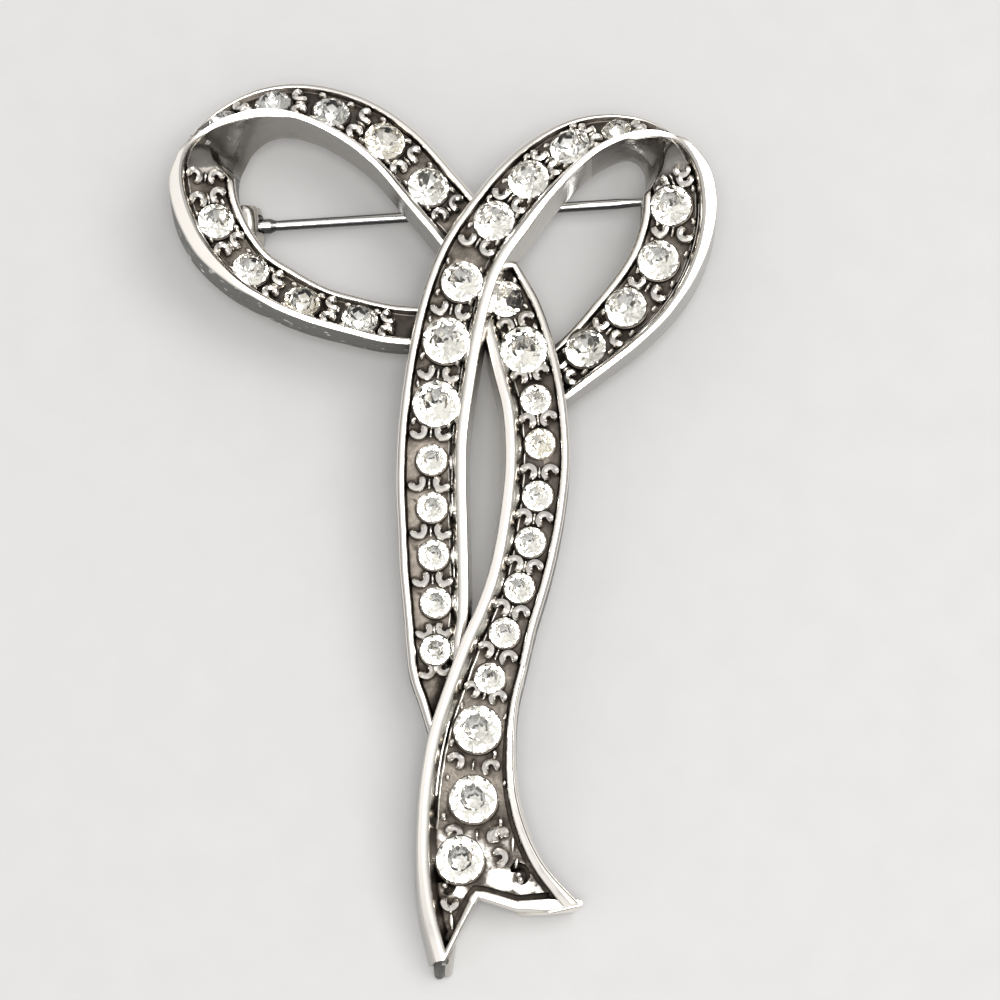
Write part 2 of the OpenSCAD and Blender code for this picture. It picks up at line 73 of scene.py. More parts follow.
# First ribbon: left loop from below, then the right-hand strand down to the fork
FIRST = np.array([
    [-0.030, 0.209, 0.69, 262, 0.07, 0.74, 0.52, 0.38, -1],
    [-0.100, 0.212, 0.72, 262, 0.07, 0.74, 0.57, 0.36, -1],
    [-0.167, 0.221, 0.76, 256, 0.07, 0.73, 0.60, 0.36, -1],
    [-0.235, 0.232, 0.79, 250, 0.07, 0.74, 0.62, 0.36, -1],
    [-0.304, 0.249, 0.82, 243, 0.08, 0.79, 0.55, 0.36, -1],
    [-0.368, 0.274, 0.84, 231, 0.15, 0.79, 0.48, 0.36, -1],
    [-0.425, 0.311, 0.85, 216, 0.23, 0.86, 0.38, 0.36, -1],
    [-0.460, 0.351, 0.86, 202, 0.26, 0.90, 0.34, 0.36, -1],
    [-0.476, 0.391, 0.86, 182, 0.23, 0.94, 0.38, 0.36, -0.9],
    [-0.467, 0.423, 0.87, 163, 0.22, 0.92, 0.57, 0.36, -0.3],
    [-0.430, 0.446, 0.88, 149, 0.31, 0.74, 0.67, 0.36, 0.4],
    [-0.377, 0.463, 0.88, 130, 0.45, 0.46, 0.74, 0.36, 0.9],
    [-0.315, 0.470, 0.88, 106, 0.62, 0.23, 0.76, 0.37, 1],
    [-0.249, 0.462, 0.87, 84, 0.79, 0.13, 0.69, 0.38, 1],
    [-0.176, 0.440, 0.85, 59, 0.92, 0.12, 0.57, 0.39, 1],
    [-0.112, 0.409, 0.82, 46, 0.96, 0.12, 0.47, 0.39, 1],
    [-0.048, 0.363, 0.77, 40, 0.97, 0.12, 0.36, 0.38, 1],
    [0.012, 0.319, 0.72, 37, 0.95, 0.14, 0.26, 0.36, 1],
    [0.056, 0.275, 0.69, 30, 0.92, 0.17, 0.19, 0.35, 1],
    [0.087, 0.229, 0.70, 19, 0.99, 0.16, 0.14, 0.37, 1],
    [0.109, 0.174, 0.74, 13, 1.02, 0.16, 0.10, 0.40, 1],
    [0.127, 0.124, 0.77, 7, 0.98, 0.16, 0.07, 0.42, 1],
    [0.131, 0.066, 0.79, -2, 0.98, 0.16, 0.07, 0.44, 1],
    [0.122, 0.008, 0.80, -9, 0.96, 0.16, 0.07, 0.45, 1],
    [0.105, -0.049, 0.79, -14, 0.93, 0.16, 0.07, 0.44, 1],
    [0.081, -0.094, 0.78, -20, 0.95, 0.16, 0.07, 0.42, 1],
    [0.052, -0.134, 0.76, -22, 1.08, 0.16, 0.07, 0.40, 1],
    [0.023, -0.181, 0.73, -19, 1.18, 0.16, 0.07, 0.37, 1],
    [-0.003, -0.229, 0.69, -14, 1.36, 0.16, 0.07, 0.33, 1],
    [-0.019, -0.279, 0.63, -8, 1.52, 0.16, 0.07, 0.27, 1],
    [-0.026, -0.328, 0.56, -3, 1.73, 0.16, 0.08, 0.20, 1],
    [-0.026, -0.378, 0.48, 0, 2.05, 0.17, 0.11, 0.13, 1],
    [-0.017, -0.421, 0.40, 0, 2.50, 0.20, 0.16, 0.06, 1],
    [-0.001, -0.459, 0.33, 0, 2.80, 0.24, 0.19, 0.02, 1],
    [0.010, -0.482, 0.30, 0, 2.95, 0.26, 0.19, 0, 1],
])

# Second ribbon: left-hand strand from its hidden lower end, then the right loop from above
SECOND = np.array([
    [0.052, -0.225, 0.49, 207, 0.65, 0.16, 0.07, 0.29, 1],
    [0.041, -0.186, 0.53, 199, 0.72, 0.16, 0.09, 0.31, 1],
    [0.036, -0.156, 0.58, 192, 0.83, 0.16, 0.11, 0.33, 1],
    [0.036, -0.130, 0.63, 187, 0.88, 0.16, 0.13, 0.35, 1],
    [0.043, -0.099, 0.67, 184, 0.98, 0.16, 0.15, 0.38, 1],
    [0.043, -0.052, 0.72, 181, 1.05, 0.16, 0.17, 0.41, 1],
    [0.041, -0.002, 0.77, 179, 1.07, 0.16, 0.18, 0.43, 1],
    [0.039, 0.048, 0.82, 178, 1.08, 0.16, 0.19, 0.46, 1],
    [0.041, 0.098, 0.86, 176, 1.07, 0.16, 0.20, 0.49, 1],
    [0.052, 0.149, 0.90, 172, 1.09, 0.16, 0.21, 0.52, 1],
    [0.067, 0.205, 0.94, 168, 1.08, 0.16, 0.22, 0.54, 1],
    [0.087, 0.256, 0.98, 163, 1.05, 0.16, 0.24, 0.55, 1],
    [0.112, 0.293, 1.00, 153, 1.03, 0.16, 0.26, 0.54, 1],
    [0.151, 0.329, 0.99, 144, 1.03, 0.17, 0.31, 0.50, 1],
    [0.195, 0.365, 0.97, 139, 1.02, 0.14, 0.38, 0.45, 1],
    [0.242, 0.398, 0.95, 133, 0.96, 0.12, 0.55, 0.41, 1],
    [0.293, 0.425, 0.93, 121, 0.81, 0.12, 0.69, 0.38, 1],
    [0.350, 0.441, 0.91, 103, 0.57, 0.18, 0.76, 0.37, 1],
    [0.405, 0.443, 0.90, 68, 0.28, 0.62, 0.70, 0.36, 0.6],
    [0.450, 0.429, 0.89, 46, 0.21, 1.00, 0.52, 0.36, -0.4],
    [0.478, 0.399, 0.88, 20, 0.22, 1.04, 0.38, 0.36, -0.9],
    [0.487, 0.361, 0.87, -1, 0.22, 1.07, 0.33, 0.36, -1],
    [0.480, 0.321, 0.86, -15, 0.18, 1.10, 0.31, 0.36, -1],
    [0.456, 0.279, 0.84, -26, 0.14, 1.11, 0.33, 0.36, -1],
    [0.414, 0.239, 0.82, -37, 0.10, 1.11, 0.36, 0.36, -1],
    [0.359, 0.206, 0.79, -46, 0.08, 1.05, 0.42, 0.36, -1],
    [0.297, 0.177, 0.75, -52, 0.08, 0.93, 0.48, 0.37, -1],
    [0.239, 0.151, 0.71, -55, 0.08, 0.88, 0.52, 0.38, -1],
    [0.199, 0.134, 0.65, -55, 0.08, 0.84, 0.52, 0.39, -1],
])

# Runs of stones: the ribbon, the side, the rows of the first and the last stone, the share of the way across
# the channel, and the stones by size, which stand with equal gaps between them
RUNS = [
    (FIRST, -1, 1.8, 6.55, 0.5, [STONE_LOOP] * 4),
    (FIRST, 1, 10.65, 15.85, 0.5, [STONE_SMALL] + [STONE_LOOP] * 2 + [STONE_CROSS] * 2),
    (FIRST, 1, 18.6, 21.6, 0.5, [STONE_LOOP, STONE_LARGE] + [STONE_SMALL] * 2),
    (FIRST, 1, 22.55, 26.55, 0.5, [STONE_SMALL] * 5),
    (FIRST, 1, 27.75, 29.4, 0.5, [STONE_LARGE] * 2),
    (FIRST, 1, 30.8, 30.8, 0.28, [STONE_LARGE]),
    (SECOND, 1, 2.85, 11.1, 0.46, [STONE_SMALL] * 5 + [STONE_LARGE] * 2 + [STONE_CROSS]),
    (SECOND, 1, 12.8, 16.7, 0.5, [STONE_CROSS] * 3 + [STONE_SMALL]),
    (SECOND, -1, 20.95, 25.95, 0.6, [STONE_CROSS] * 4),
]
RUN_PARTS = 40
NEXT_RUN = 2

# Points of the fork's end, from the left tip over the notch to the right tip: shares of the width, height and
# depth
FORK = np.array([
    [0.010, -0.478, 0.30],
    [0.036, -0.446, 0.34],
    [0.070, -0.408, 0.40],
    [0.140, -0.421, 0.36],
    [0.202, -0.422, 0.33],
    [0.253, -0.415, 0.31],
]) * [BROOCH_W, BROOCH_H, BROOCH_D]

# Diameter and reach of the left tip's foot in the solids, which set the middle of the bow
LEFT_D = 1.2
LEFT_OUT = 0.7
# Pads of the feet: diameter, and for each its place along X and Y from the tip and its height
PAD_D = 0.7
PAD_ROUND = 0.12
LEFT_FEET = [(-0.6, 2, 1.2), (-0.35, -0.75, 0.4)]
INNER_FEET = [(0.2, -0.6, 0.3), (0.45, 1.2, 1.2)]
RIGHT_FEET = [(-0.45, -0.05, 0.3), (-4.1, -0.3, 0.3)]

# Shape of a section, as in the solids: lean of the channel's walls and slopes of the rims
RIM_LEAN = 0.25
EDGE_LEAN = 0.2
RIM_SLOPE = 0.12
EDGE_SLOPE = 0.2
FOOT_LAP = 0.05
# Lean of the channel's tall wall and width of the second rim in the dressed casting
WALL_LEAN = 0.65
EDGE_BROAD = 0.56
# Slope of the plain shoulder. Its width on each side is the reach less the first share, and the second at most.
SHOULDER_SLOPE = 0.22
SHOULDER_LEFT = {-1: 0.25, 1: 0.12}
SHOULDER_MOST = {-1: 0.6, 1: 0.85}
# Shares of the turn from one side to the other between which a channel opens
OPENS = 0.3
OPEN = 0.95
STEPS = 8
# Radius of each corner of a half section, from the front rim to the foot, on a channel and on a plain side
CORNERS = [0.2, 0.1, 0.1, 0.09, 0.14, 0.14, 0.2]
PLAIN_CORNERS = [0.1, 0.25, 0.2, 0.2, 0.2, 0.2, 0.2]
# Points on each corner and across the floor
CORNER_POINTS = 5
FLOOR_POINTS = 4


def catmull(a, b, c, d, k):
    """Smooth curve through four rows, between the second and the third."""
    return b + k / 2 * ((c - a) + k * ((2 * a - 5 * b + 4 * c - d) + k * (3 * (b - c) + d - a)))


def row(table, t):
    last = len(table) - 1
    i = min(int(math.floor(t)), last - 1)
    return catmull(table[max(i - 1, 0)], table[i], table[i + 1], table[min(i + 2, last)], t - i)


def reach(r, side):
    return BAND_W * (r[OUT] if side > 0 else r[IN])


def slope_length(r, side):
    return math.hypot(reach(r, side), BAND_W * r[DROP])


def on_slope(r, side, s, h):
    """Place on the sloping side: s mm out from the front rim and h mm off the slope, as [out, height]."""
    w = reach(r, side)
    d = BAND_W * r[DROP]
    long = math.hypot(w, d)
    return np.array([s / long * w + h * d / long, -s / long * d + h * w / long])


def floor_line(r, side):
    """The two ends of the channel floor, as [out, height]."""
    long = slope_length(r, side)
    return (
        on_slope(r, side, RIM_W / 2 + RIM_LEAN * RIM_DEPTH, -RIM_DEPTH),
        on_slope(r, side, long - EDGE_W - EDGE_LEAN * EDGE_DEPTH, -EDGE_DEPTH),
    )


def share_between(value, low, high):
    """How far the value lies from low to high, held between 0 and 1."""
    return max(0.0, min(1.0, (value - low) / (high - low)))


def openness(r, side):
    """How far the channel of a side is open: 1 where it holds stones, and 0 where the side is plain."""
    k = share_between((1 + side * r[FACE]) / 2, OPENS, OPEN)
    return k * k * (3 - 2 * k)


def half_section(r, side):
    """One side of a section, from the front rim to the foot: its corners, as [out, height below the rim]."""
    w = reach(r, side)
    fall = BROOCH_D * (r[TOP] - r[FOOT])
    long = slope_length(r, side)
    k = openness(r, side)
    channel = [
        on_slope(r, side, RIM_W / 2, -RIM_SLOPE * RIM_W),
        on_slope(r, side, RIM_W / 2 + WALL_LEAN * RIM_DEPTH, -RIM_DEPTH),
        on_slope(r, side, long - EDGE_BROAD - EDGE_LEAN * EDGE_DEPTH, -EDGE_DEPTH),
        on_slope(r, side, long - EDGE_BROAD, 0),
        on_slope(r, side, long - EDGE_BROAD / 2, EDGE_SLOPE * EDGE_W),
        on_slope(r, side, long, -EDGE_SLOPE * EDGE_W),
    ]
    broad = min(max(RIM_W / 2, w - SHOULDER_LEFT[side]), SHOULDER_MOST[side])
    broad = RIM_W / 2 + (broad - RIM_W / 2) * share_between(-side * r[FACE], 0.5, 1)
    crest = np.array([RIM_W / 3, -SHOULDER_SLOPE * RIM_W / 3])
    shoulder = np.array([broad, -SHOULDER_SLOPE * broad])
    foot = np.array([w, -fall])
    plain = [crest] + [shoulder + (foot - shoulder) * i / 5 for i in range(5)]
    corners = [plain[i] + (channel[i] - plain[i]) * k for i in range(6)]
    return corners + [np.array([max(w, RIM_W / 2) + k * FOOT_LAP, -fall])]


def rounded(before, corners, after, k):
    """The corners as short arcs, with the floor between the second and third split for its dents."""
    points = []
    line = [before] + corners + [after]
    for i in range(1, len(line) - 1):
        p = line[i]
        back = line[i - 1] - p
        on = line[i + 1] - p
        radius = PLAIN_CORNERS[i - 1] + (CORNERS[i - 1] - PLAIN_CORNERS[i - 1]) * k
        cut = min(radius, 0.45 * np.linalg.norm(back), 0.45 * np.linalg.norm(on))
        a = p + back / max(np.linalg.norm(back), 1e-6) * cut
        b = p + on / max(np.linalg.norm(on), 1e-6) * cut
        if i == 3:
            last = points[-1]
            points += [last + (a - last) * j / (FLOOR_POINTS + 1) for j in range(1, FLOOR_POINTS + 1)]
        for j in range(CORNER_POINTS):
            k = j / (CORNER_POINTS - 1)
            points.append((1 - k) ** 2 * a + 2 * k * (1 - k) * p + k * k * b)
    return points


def placed(r, side, p):
    """A point of a section in space."""
    turn = math.radians(r[TURN])
    return np.array([
        BROOCH_W * r[X] + side * p[0] * math.cos(turn),
        BROOCH_H * r[Y] + side * p[0] * math.sin(turn),
        BROOCH_D * r[TOP] + p[1],
    ])


def section(r):
    """Closed outline of a ribbon's section in space, from the inner foot over the rim to the outer foot."""
    outline = []
    for side in (-1, 1):
        corners = half_section(r, side)
        foot = corners[-1]
        half = rounded(np.array([0.0, 0.0]), corners, np.array([0.0, foot[1]]), openness(r, side))
        half = [placed(r, side, p) for p in half]
        outline += half[::-1] + [placed(r, side, (0, 0))] if side < 0 else half
    return outline


def middle():
    """Middle of the bow's outline on the surface, from the corners of its sections, as in the solids."""
    points = []
    for table in (FIRST, SECOND):
        for j in range((len(table) - 1) * 2 + 1):
            r = row(table, j / 2)
            for side in (-1, 1):
                points += [placed(r, side, p) for p in half_section(r, side)]
    low_tip = FORK[0][1] - LEFT_OUT - LEFT_D / 2
    points = np.array([p for p in points if p[1] > FORK[0][1]] + [[FORK[0][0], low_tip, 0]])
    return (points.min(axis=0) + points.max(axis=0)) / 2 * [1, 1, 0]


MIDDLE = middle()


def on_floor(table, side, t, s, h):
    """Point of the channel floor: the share s of the way across, and h mm above the floor."""
    r = row(table, t)
    start, end = floor_line(r, side)
    along = (end - start) / np.linalg.norm(end - start)
    return placed(r, side, start + (end - start) * s + h * np.array([-along[1], along[0]]))


def floor_frame(table, side, t, s):
    """Place on the channel floor, as a matrix: X across it, Y along the ribbon and Z away from it."""
    origin = on_floor(table, side, t, s, 0)
    up = on_floor(table, side, t, s, 1) - origin
    up = up / np.linalg.norm(up)
    across = on_floor(table, side, t, s + 0.1, 0) - origin
    across = across - up * np.dot(up, across)
    across = across / np.linalg.norm(across)
    along = np.cross(up, across)
    matrix = np.eye(4)
    matrix[:3, 0] = across
    matrix[:3, 1] = along
    matrix[:3, 2] = up
    matrix[:3, 3] = origin
    return matrix


def run_stones(run):
    """Every stone of a run, as (table, side, row, share across, size)."""
    table, side, first, last, share, sizes = run
    rows = np.linspace(first, last, RUN_PARTS + 1)
    places = np.array([on_floor(table, side, t, share, 0) for t in rows])
    lengths = np.concatenate([[0], np.cumsum(np.linalg.norm(np.diff(places, axis=0), axis=1))])
    halves = [(sizes[i - 1] + sizes[i]) / 2 for i in range(1, len(sizes))]
    gap = (lengths[-1] - sum(halves)) / max(len(halves), 1)
    at = np.concatenate([[0], np.cumsum([half + gap for half in halves])])
    return [(table, side, float(np.interp(a, lengths, rows)), share, size) for a, size in zip(at, sizes)]


STONES = [stone for run in RUNS for stone in run_stones(run)]


def run_gaps(number):
    """Rows halfway between the stones of a run, and past its ends unless the next run begins there."""
    run = RUNS[number]
    rows = [stone[2] for stone in run_stones(run)]
    if len(rows) < 2:
        return []
    gaps = [rows[0] - (rows[1] - rows[0]) / 2] + [(a + b) / 2 for a, b in zip(rows, rows[1:])]
    following = RUNS[(number + 1) % len(RUNS)]
    same = following[0] is run[0] and following[1] == run[1] and len(following[5]) > 1
    if same and 0 < following[2] - run[3] < NEXT_RUN:
        return gaps
    return gaps + [rows[-1] + (rows[-1] - rows[-2]) / 2]


# Meshes, made in millimetres round the ribbons' own middle


# Finishes of the casting, in the order of its material slots
PLATE, CHANNEL, GRAIN, PAINTED_DARK, FLOOR, BACK, PAINTED_DIM = range(7)
FINISH_NAMES = "cast_plate dark_channel bright_grain grey_wall fork_floor worn_back dim_wall".split()
FINISHES = [bpy.data.materials.new(name) for name in FINISH_NAMES]


def mesh_object(name, points, faces, finish=PLATE):
    mesh = bpy.data.meshes.new(name)
    mesh.from_pydata([tuple(p) for p in points], [], faces)
    mesh.validate()
    for made in FINISHES:
        mesh.materials.append(made)
    mesh.polygons.foreach_set("material_index", [finish] * len(faces) if isinstance(finish, int) else finish)
    obj = bpy.data.objects.new(name, mesh)
    bpy.context.scene.collection.objects.link(obj)
    return obj


def tube_faces(rings, sides):
    """Faces of a closed tube of rings, with both ends capped."""
    faces = [
        [j * sides + i, j * sides + (i + 1) % sides, (j + 1) * sides + (i + 1) % sides, (j + 1) * sides + i]
        for j in range(rings - 1)
        for i in range(sides)
    ]
    return faces + [list(range(sides))[::-1], [(rings - 1) * sides + i for i in range(sides)]]


def outward(obj):
    """Turns the faces so that all look out of the solid."""
    work = bmesh.new()
    work.from_mesh(obj.data)
    bmesh.ops.recalc_face_normals(work, faces=work.faces)
    work.to_mesh(obj.data)
    work.free()
    return obj


def joined(name, solids, finish=PLATE):
    """One object from lists of (points, faces) that don't touch each other."""
    points = []
    faces = []
    for solid_points, solid_faces in solids:
        shift = len(points)
        points += list(solid_points)
        faces += [[i + shift for i in face] for face in solid_faces]
    return outward(mesh_object(name, points, faces, finish))


def combine(obj, other, operation):
    """Unites obj with the other solid, or cuts it away, and deletes the other."""
    modifier = obj.modifiers.new(operation, "BOOLEAN")
    modifier.operation = operation
    modifier.object = other
    modifier.solver = "MANIFOLD"
    baked = bpy.data.meshes.new_from_object(obj.evaluated_get(bpy.context.evaluated_depsgraph_get()))
    obj.modifiers.clear()
    old = obj.data
    obj.data = baked
    bpy.data.meshes.remove(old)
    bpy.data.objects.remove(other)
    return obj


def apart(solids):
    """Shares (points, faces) solids out to lists in which no member's box meets another's."""
    lists = []
    for solid in solids:
        low = np.min(solid[0], axis=0)
        high = np.max(solid[0], axis=0)
        for members in lists:
            if all((low > top).any() or (high < bottom).any() for bottom, top, other in members):
                members.append((low, high, solid))
                break
        else:
            lists.append([(low, high, solid)])
    return [[solid for low, high, solid in members] for members in lists]


def combine_all(obj, name, solids, operation, finish):
    """Unites obj with many small solids, or cuts them away, a list of solids that don't touch at a time."""
    for members in apart(solids):
        combine(obj, joined(name, members, finish), operation)


def turn_about(axis, degrees):
    return np.array(Matrix.Rotation(math.radians(degrees), 4, axis))


def moved(points, matrix):
    points = np.asarray(points)
    return points @ matrix[:3, :3].T + matrix[:3, 3]


# How far the cast surface wanders, in mm, on the rims and in the channels, and the length of a wave
WOBBLE_RIM = 0.015
WOBBLE_CHANNEL = 0.05
WAVE = 0.9


def wobble(points, sizes):
    out = []
    for p, size in zip(points, sizes):
        v = noise.noise_vector(Vector(p) / WAVE)
        out.append(p + np.array(v) * size)
    return out


# First row of the fork, and how far a channel is open where its rim and its dark floor begin
FORK_FIRST = 30
HALF_OPEN = 0.5
DARK_OPEN = 0.97
# Rows whose inner plain wall is painted dim, as painted shade: the upper part of each loop
DIM_FIRST_END = 18
DIM_SECOND_START = 15.5


def face_finish(step, open_share, fork, wall):
    """Finish of the face that follows the given point of a half section, counted from the front rim."""
    wall_foot = 2 * CORNER_POINTS - 1
    floor_end = 3 * CORNER_POINTS + FLOOR_POINTS
    outer_wall = 6 * CORNER_POINTS + FLOOR_POINTS - 1
    if open_share < HALF_OPEN:
        return wall if step >= wall_foot else PLATE
    # The outer wall near the foot gets the dark finish: painted shade and painted reflection of the shaded
    # surface below
    if step >= outer_wall:
        return PAINTED_DARK
    if CORNER_POINTS - 1 <= step < wall_foot:
        return CHANNEL if fork else BACK
    if not wall_foot <= step < floor_end:
        return PLATE
    if fork:
        return FLOOR
    # Channel floors that are not fully open are painted dim: painted shade
    return PAINTED_DIM if open_share < DARK_OPEN else CHANNEL


def swept(name, table):
    """One ribbon, swept through fine sections, with the uneven channels of a casting."""
    rows = [row(table, j / STEPS) for j in range((len(table) - 1) * STEPS + 1)]
    rings = [section(r) for r in rows]
    sides = len(rings[0])
    half = (sides - 1) // 2
    first, last = CORNER_POINTS - 1, 3 * CORNER_POINTS + FLOOR_POINTS
    sizes = []
    finish = []
    for j, r in enumerate(rows):
        open_shares = [openness(r, -1), openness(r, 1)]
        fork = table is FIRST and j / STEPS > FORK_FIRST
        for i in range(sides):
            open_share = open_shares[i > half]
            inside = first < abs(i - half) - 1 < last
            sizes.append(WOBBLE_RIM + (WOBBLE_CHANNEL - WOBBLE_RIM) * open_share * inside)
            step = min(abs(i - half), abs(i + 1 - half)) - 1 if i < sides - 1 else -1
            if j < len(rows) - 1:
                # Plain walls in the dim rows are painted dim: painted shade
                dim = j < STEPS * DIM_FIRST_END if table is FIRST else j > STEPS * DIM_SECOND_START
                wall = PAINTED_DIM if dim else BACK
                # The first ribbon's outer plain side gets the dark finish: painted shade
                wall = PAINTED_DARK if table is FIRST and i >= half else wall
                finish.append(face_finish(step, open_shares[i >= half], fork, wall))
    points = wobble([p for ring in rings for p in ring], sizes)
    return outward(mesh_object(name, points, tube_faces(len(rings), sides), finish + [PLATE] * 2))


def fork_gap():
    """Room below the fork's end, cut away from the first ribbon."""
    far = BROOCH_W
    low = -BROOCH_H
    tip = FORK[0]
    end = FORK[-1]
    outline = [(p[0], p[1]) for p in FORK]
    outline += [(far, end[1] - 0.2 * far), (far, low), (-far, low), (-far, tip[1] - 0.2 * far)]
    n = len(outline)
    points = [(x, y, z) for z in (-1, BROOCH_D + 1) for x, y in outline]
    walls = [[i, (i + 1) % n, n + (i + 1) % n, n + i] for i in range(n)]
    return outward(mesh_object("fork_gap", points, walls + [list(range(n))[::-1], list(range(n, 2 * n))]))


# Rim along the fork's end: its width at each point, how far it stands out of the cut, its depth and rounding,
# its parts between two points, and the parts of the left leg, which are dull
FORK_WIDE = [0.4, 0.4, 0.55, 0.65, 0.95, 0.5]
FORK_OUT = 0.14
FORK_DEEP = 1.5
FORK_ROUND = 0.14
FORK_PARTS = 10
DULL_PARTS = 18

# Dark groove inside the rims of the fork: its parts of the fork's end, its width, its top above the rim and
# its depth below it
GROOVE_FIRST = 6
GROOVE_LAST = 40
GROOVE_W = 0.42
GROOVE_TOP = 0.3
GROOVE_DEEP = 0.85

# Broad outer rim of the tail: the rows between which it widens, and its width at the last one
TAIL_FIRST = 26
TAIL_LAST = 34
TAIL_WIDE = 1.1
TAIL_PARTS = 64
# Where that rim leans out to meet the tip, as shares of its length, and how far
FLARE_FIRST = 0.5
FLARE_LAST = 0.77
FLARE_OUT = 0.6
# How far that rim stands in from the slope's end and above it
TAIL_IN = 0.08
TAIL_RISE = 0.03
# Thin groove along the outer side of that rim: its place from the edge, width and depth
THIN_AT = 0.2
THIN_W = 0.07
THIN_DEEP = 0.15


def rounded_box(half, top, bottom, radius):
    """Outline of a box with two rounded upper corners, as (across, height)."""
    outline = [(-half, bottom), (half, bottom)]
    for middle_x, start in ((half - radius, 0), (-half + radius, 90)):
        for j in range(CORNER_POINTS):
            a = math.radians(start + 90 * j / (CORNER_POINTS - 1))
            outline.append((middle_x + radius * math.cos(a), top - radius + radius * math.sin(a)))
    return outline


def along_fork(name, outline_at, first, last, finish_at):
    """A bar along the fork's end, with the section outline_at(rim's width), as (inward, height)."""
    path = []
    for i in range(len(FORK) - 1):
        path += [FORK[i] + (FORK[i + 1] - FORK[i]) * k / FORK_PARTS for k in range(FORK_PARTS)]
    path.append(FORK[-1])
    path = np.array(path)
    points = []
    finish = []
    for i in range(first, last + 1):
        along = path[min(i + 1, len(path) - 1)] - path[max(i - 1, 0)]
        along = along[:2] / np.linalg.norm(along[:2])
        inward = np.array([-along[1], along[0]])
        outline = outline_at(float(np.interp(i / FORK_PARTS, range(len(FORK)), FORK_WIDE)))
        for across, height in outline:
            xy = path[i][:2] + inward * across
            points.append((xy[0], xy[1], path[i][2] + height))
        finish += [finish_at(i)] * len(outline) if i < last else [finish_at(first), finish_at(last)]
    faces = tube_faces(last - first + 1, len(outline))
    return outward(mesh_object(name, points, faces, finish))


def fork_rim():
    """The bold rim that closes the fork's end, with a sharp notch."""
    def outline_at(width):
        box = rounded_box(width / 2, 0, -FORK_DEEP, FORK_ROUND)
        return [(width / 2 - FORK_OUT + across, height) for across, height in box]

    last = FORK_PARTS * (len(FORK) - 1)
    return along_fork("fork_rim", outline_at, 0, last, lambda i: BACK if i < DULL_PARTS else PLATE)


def fork_groove():
    """The dark groove that follows the fork's end on its inner side."""
    def outline_at(width):
        box = rounded_box(GROOVE_W / 2, GROOVE_TOP, -GROOVE_DEEP, 0.1)
        return [(width - FORK_OUT + GROOVE_W / 2 + across, height) for across, height in box]

    return along_fork("fork_groove", outline_at, GROOVE_FIRST, GROOVE_LAST, lambda i: CHANNEL)


def tail_width(k):
    return EDGE_W + (TAIL_WIDE - EDGE_W) * k


def along_tail(name, outline_at, finish):
    """A bar along the tail's outer edge, with the section outline_at(share), as (outward, height)."""
    points = []
    for j in range(TAIL_PARTS + 1):
        k = j / TAIL_PARTS
        r = row(FIRST, TAIL_FIRST + (TAIL_LAST - TAIL_FIRST) * k)
        outline = outline_at(k)
        for across, height in outline:
            points.append(placed(r, 1, on_slope(r, 1, slope_length(r, 1) + across, height)))
    faces = tube_faces(TAIL_PARTS + 1, len(outline))
    return outward(mesh_object(name, points, faces, finish))


def flare(k):
    """How far the rim leans out towards the right tip."""
    return FLARE_OUT * share_between(k, FLARE_FIRST, FLARE_LAST) ** 2


def tail_rim():
    """The outer rim of the tail, which widens towards the right tip."""
    def outline_at(k):
        half = (tail_width(k) + flare(k)) / 2
        box = rounded_box(half, TAIL_RISE, -EDGE_DEPTH - 0.3, 0.12)
        return [(across - half - TAIL_IN + flare(k), height) for across, height in box]

    return along_tail("tail_rim", outline_at, PLATE)


def tail_groove():
    """The dark groove inside the outer rim of the tail, which starts as a line and widens."""
    def outline_at(k):
        half = GROOVE_W * (0.35 + k) / 2
        box = rounded_box(half, 0.1, -EDGE_DEPTH - 0.25, 0.05)
        return [(across - half - 0.07 - tail_width(k), height) for across, height in box]

    return along_tail("tail_groove", outline_at, CHANNEL)


def thin_groove():
    """The thin line along the outer side of the tail's rim."""
    def outline_at(k):
        box = rounded_box(THIN_W / 2, 0.2, TAIL_RISE - THIN_DEEP, 0.02)
        return [(across - TAIL_IN - THIN_AT + flare(k), height) for across, height in box]

    return along_tail("thin_groove", outline_at, CHANNEL)


def hull_of(name, points, finish):
    work = bmesh.new()
    for p in points:
        work.verts.new(p)
    made = bmesh.ops.convex_hull(work, input=work.verts)
    unused = {e for e in made["geom_interior"] + made["geom_unused"] if isinstance(e, bmesh.types.BMVert)}
    bmesh.ops.delete(work, geom=list(unused), context="VERTS")
    bmesh.ops.recalc_face_normals(work, faces=work.faces)
    work.verts.index_update()
    faces = [[vertex.index for vertex in face.verts] for face in work.faces]
    points = [tuple(vertex.co) for vertex in work.verts]
    work.free()
    return mesh_object(name, points, faces, finish)


def circle(x, y, z, radius, sides=24):
    angles = [2 * math.pi * i / sides for i in range(sides)]
    return [(x + radius * math.cos(a), y + radius * math.sin(a), z) for a in angles]


def tip_foot(name, tops, feet, finish):
    """Foot of a tip: a skin drawn over points of the rim and the rounded pads that touch the surface."""
    rim_r = RIM_W / 2
    pad_r = PAD_D / 2
    points = []
    for x, y, z in tops:
        points += circle(x, y, z - 0.25, rim_r) + circle(x, y, z - 0.08, rim_r - PAD_ROUND)
    for dx, dy, height in feet:
        x = tops[0][0] + dx
        y = tops[0][1] + dy
        points += circle(x, y, 0, pad_r - PAD_ROUND) + circle(x, y, PAD_ROUND, pad_r)
        points += circle(x, y, height, pad_r)
    return hull_of(name, points, finish)


# Curls between the stones: radius of the ring and of its wire, the degrees that stay open, and the points
CURL_R = 0.42
CURL_WIRE = 0.28
CURL_OPEN = 75
CURL_RINGS = 14
CURL_SIDES = 8
# Two curls side by side: share of the way across the channel, and compass angle of the opening
PAIR = [(0.25, 240), (0.75, 300)]
# Further pairs at the twists: number of the run and row
TWIST_PAIRS = [(0, 8.2), (8, 19.6)]


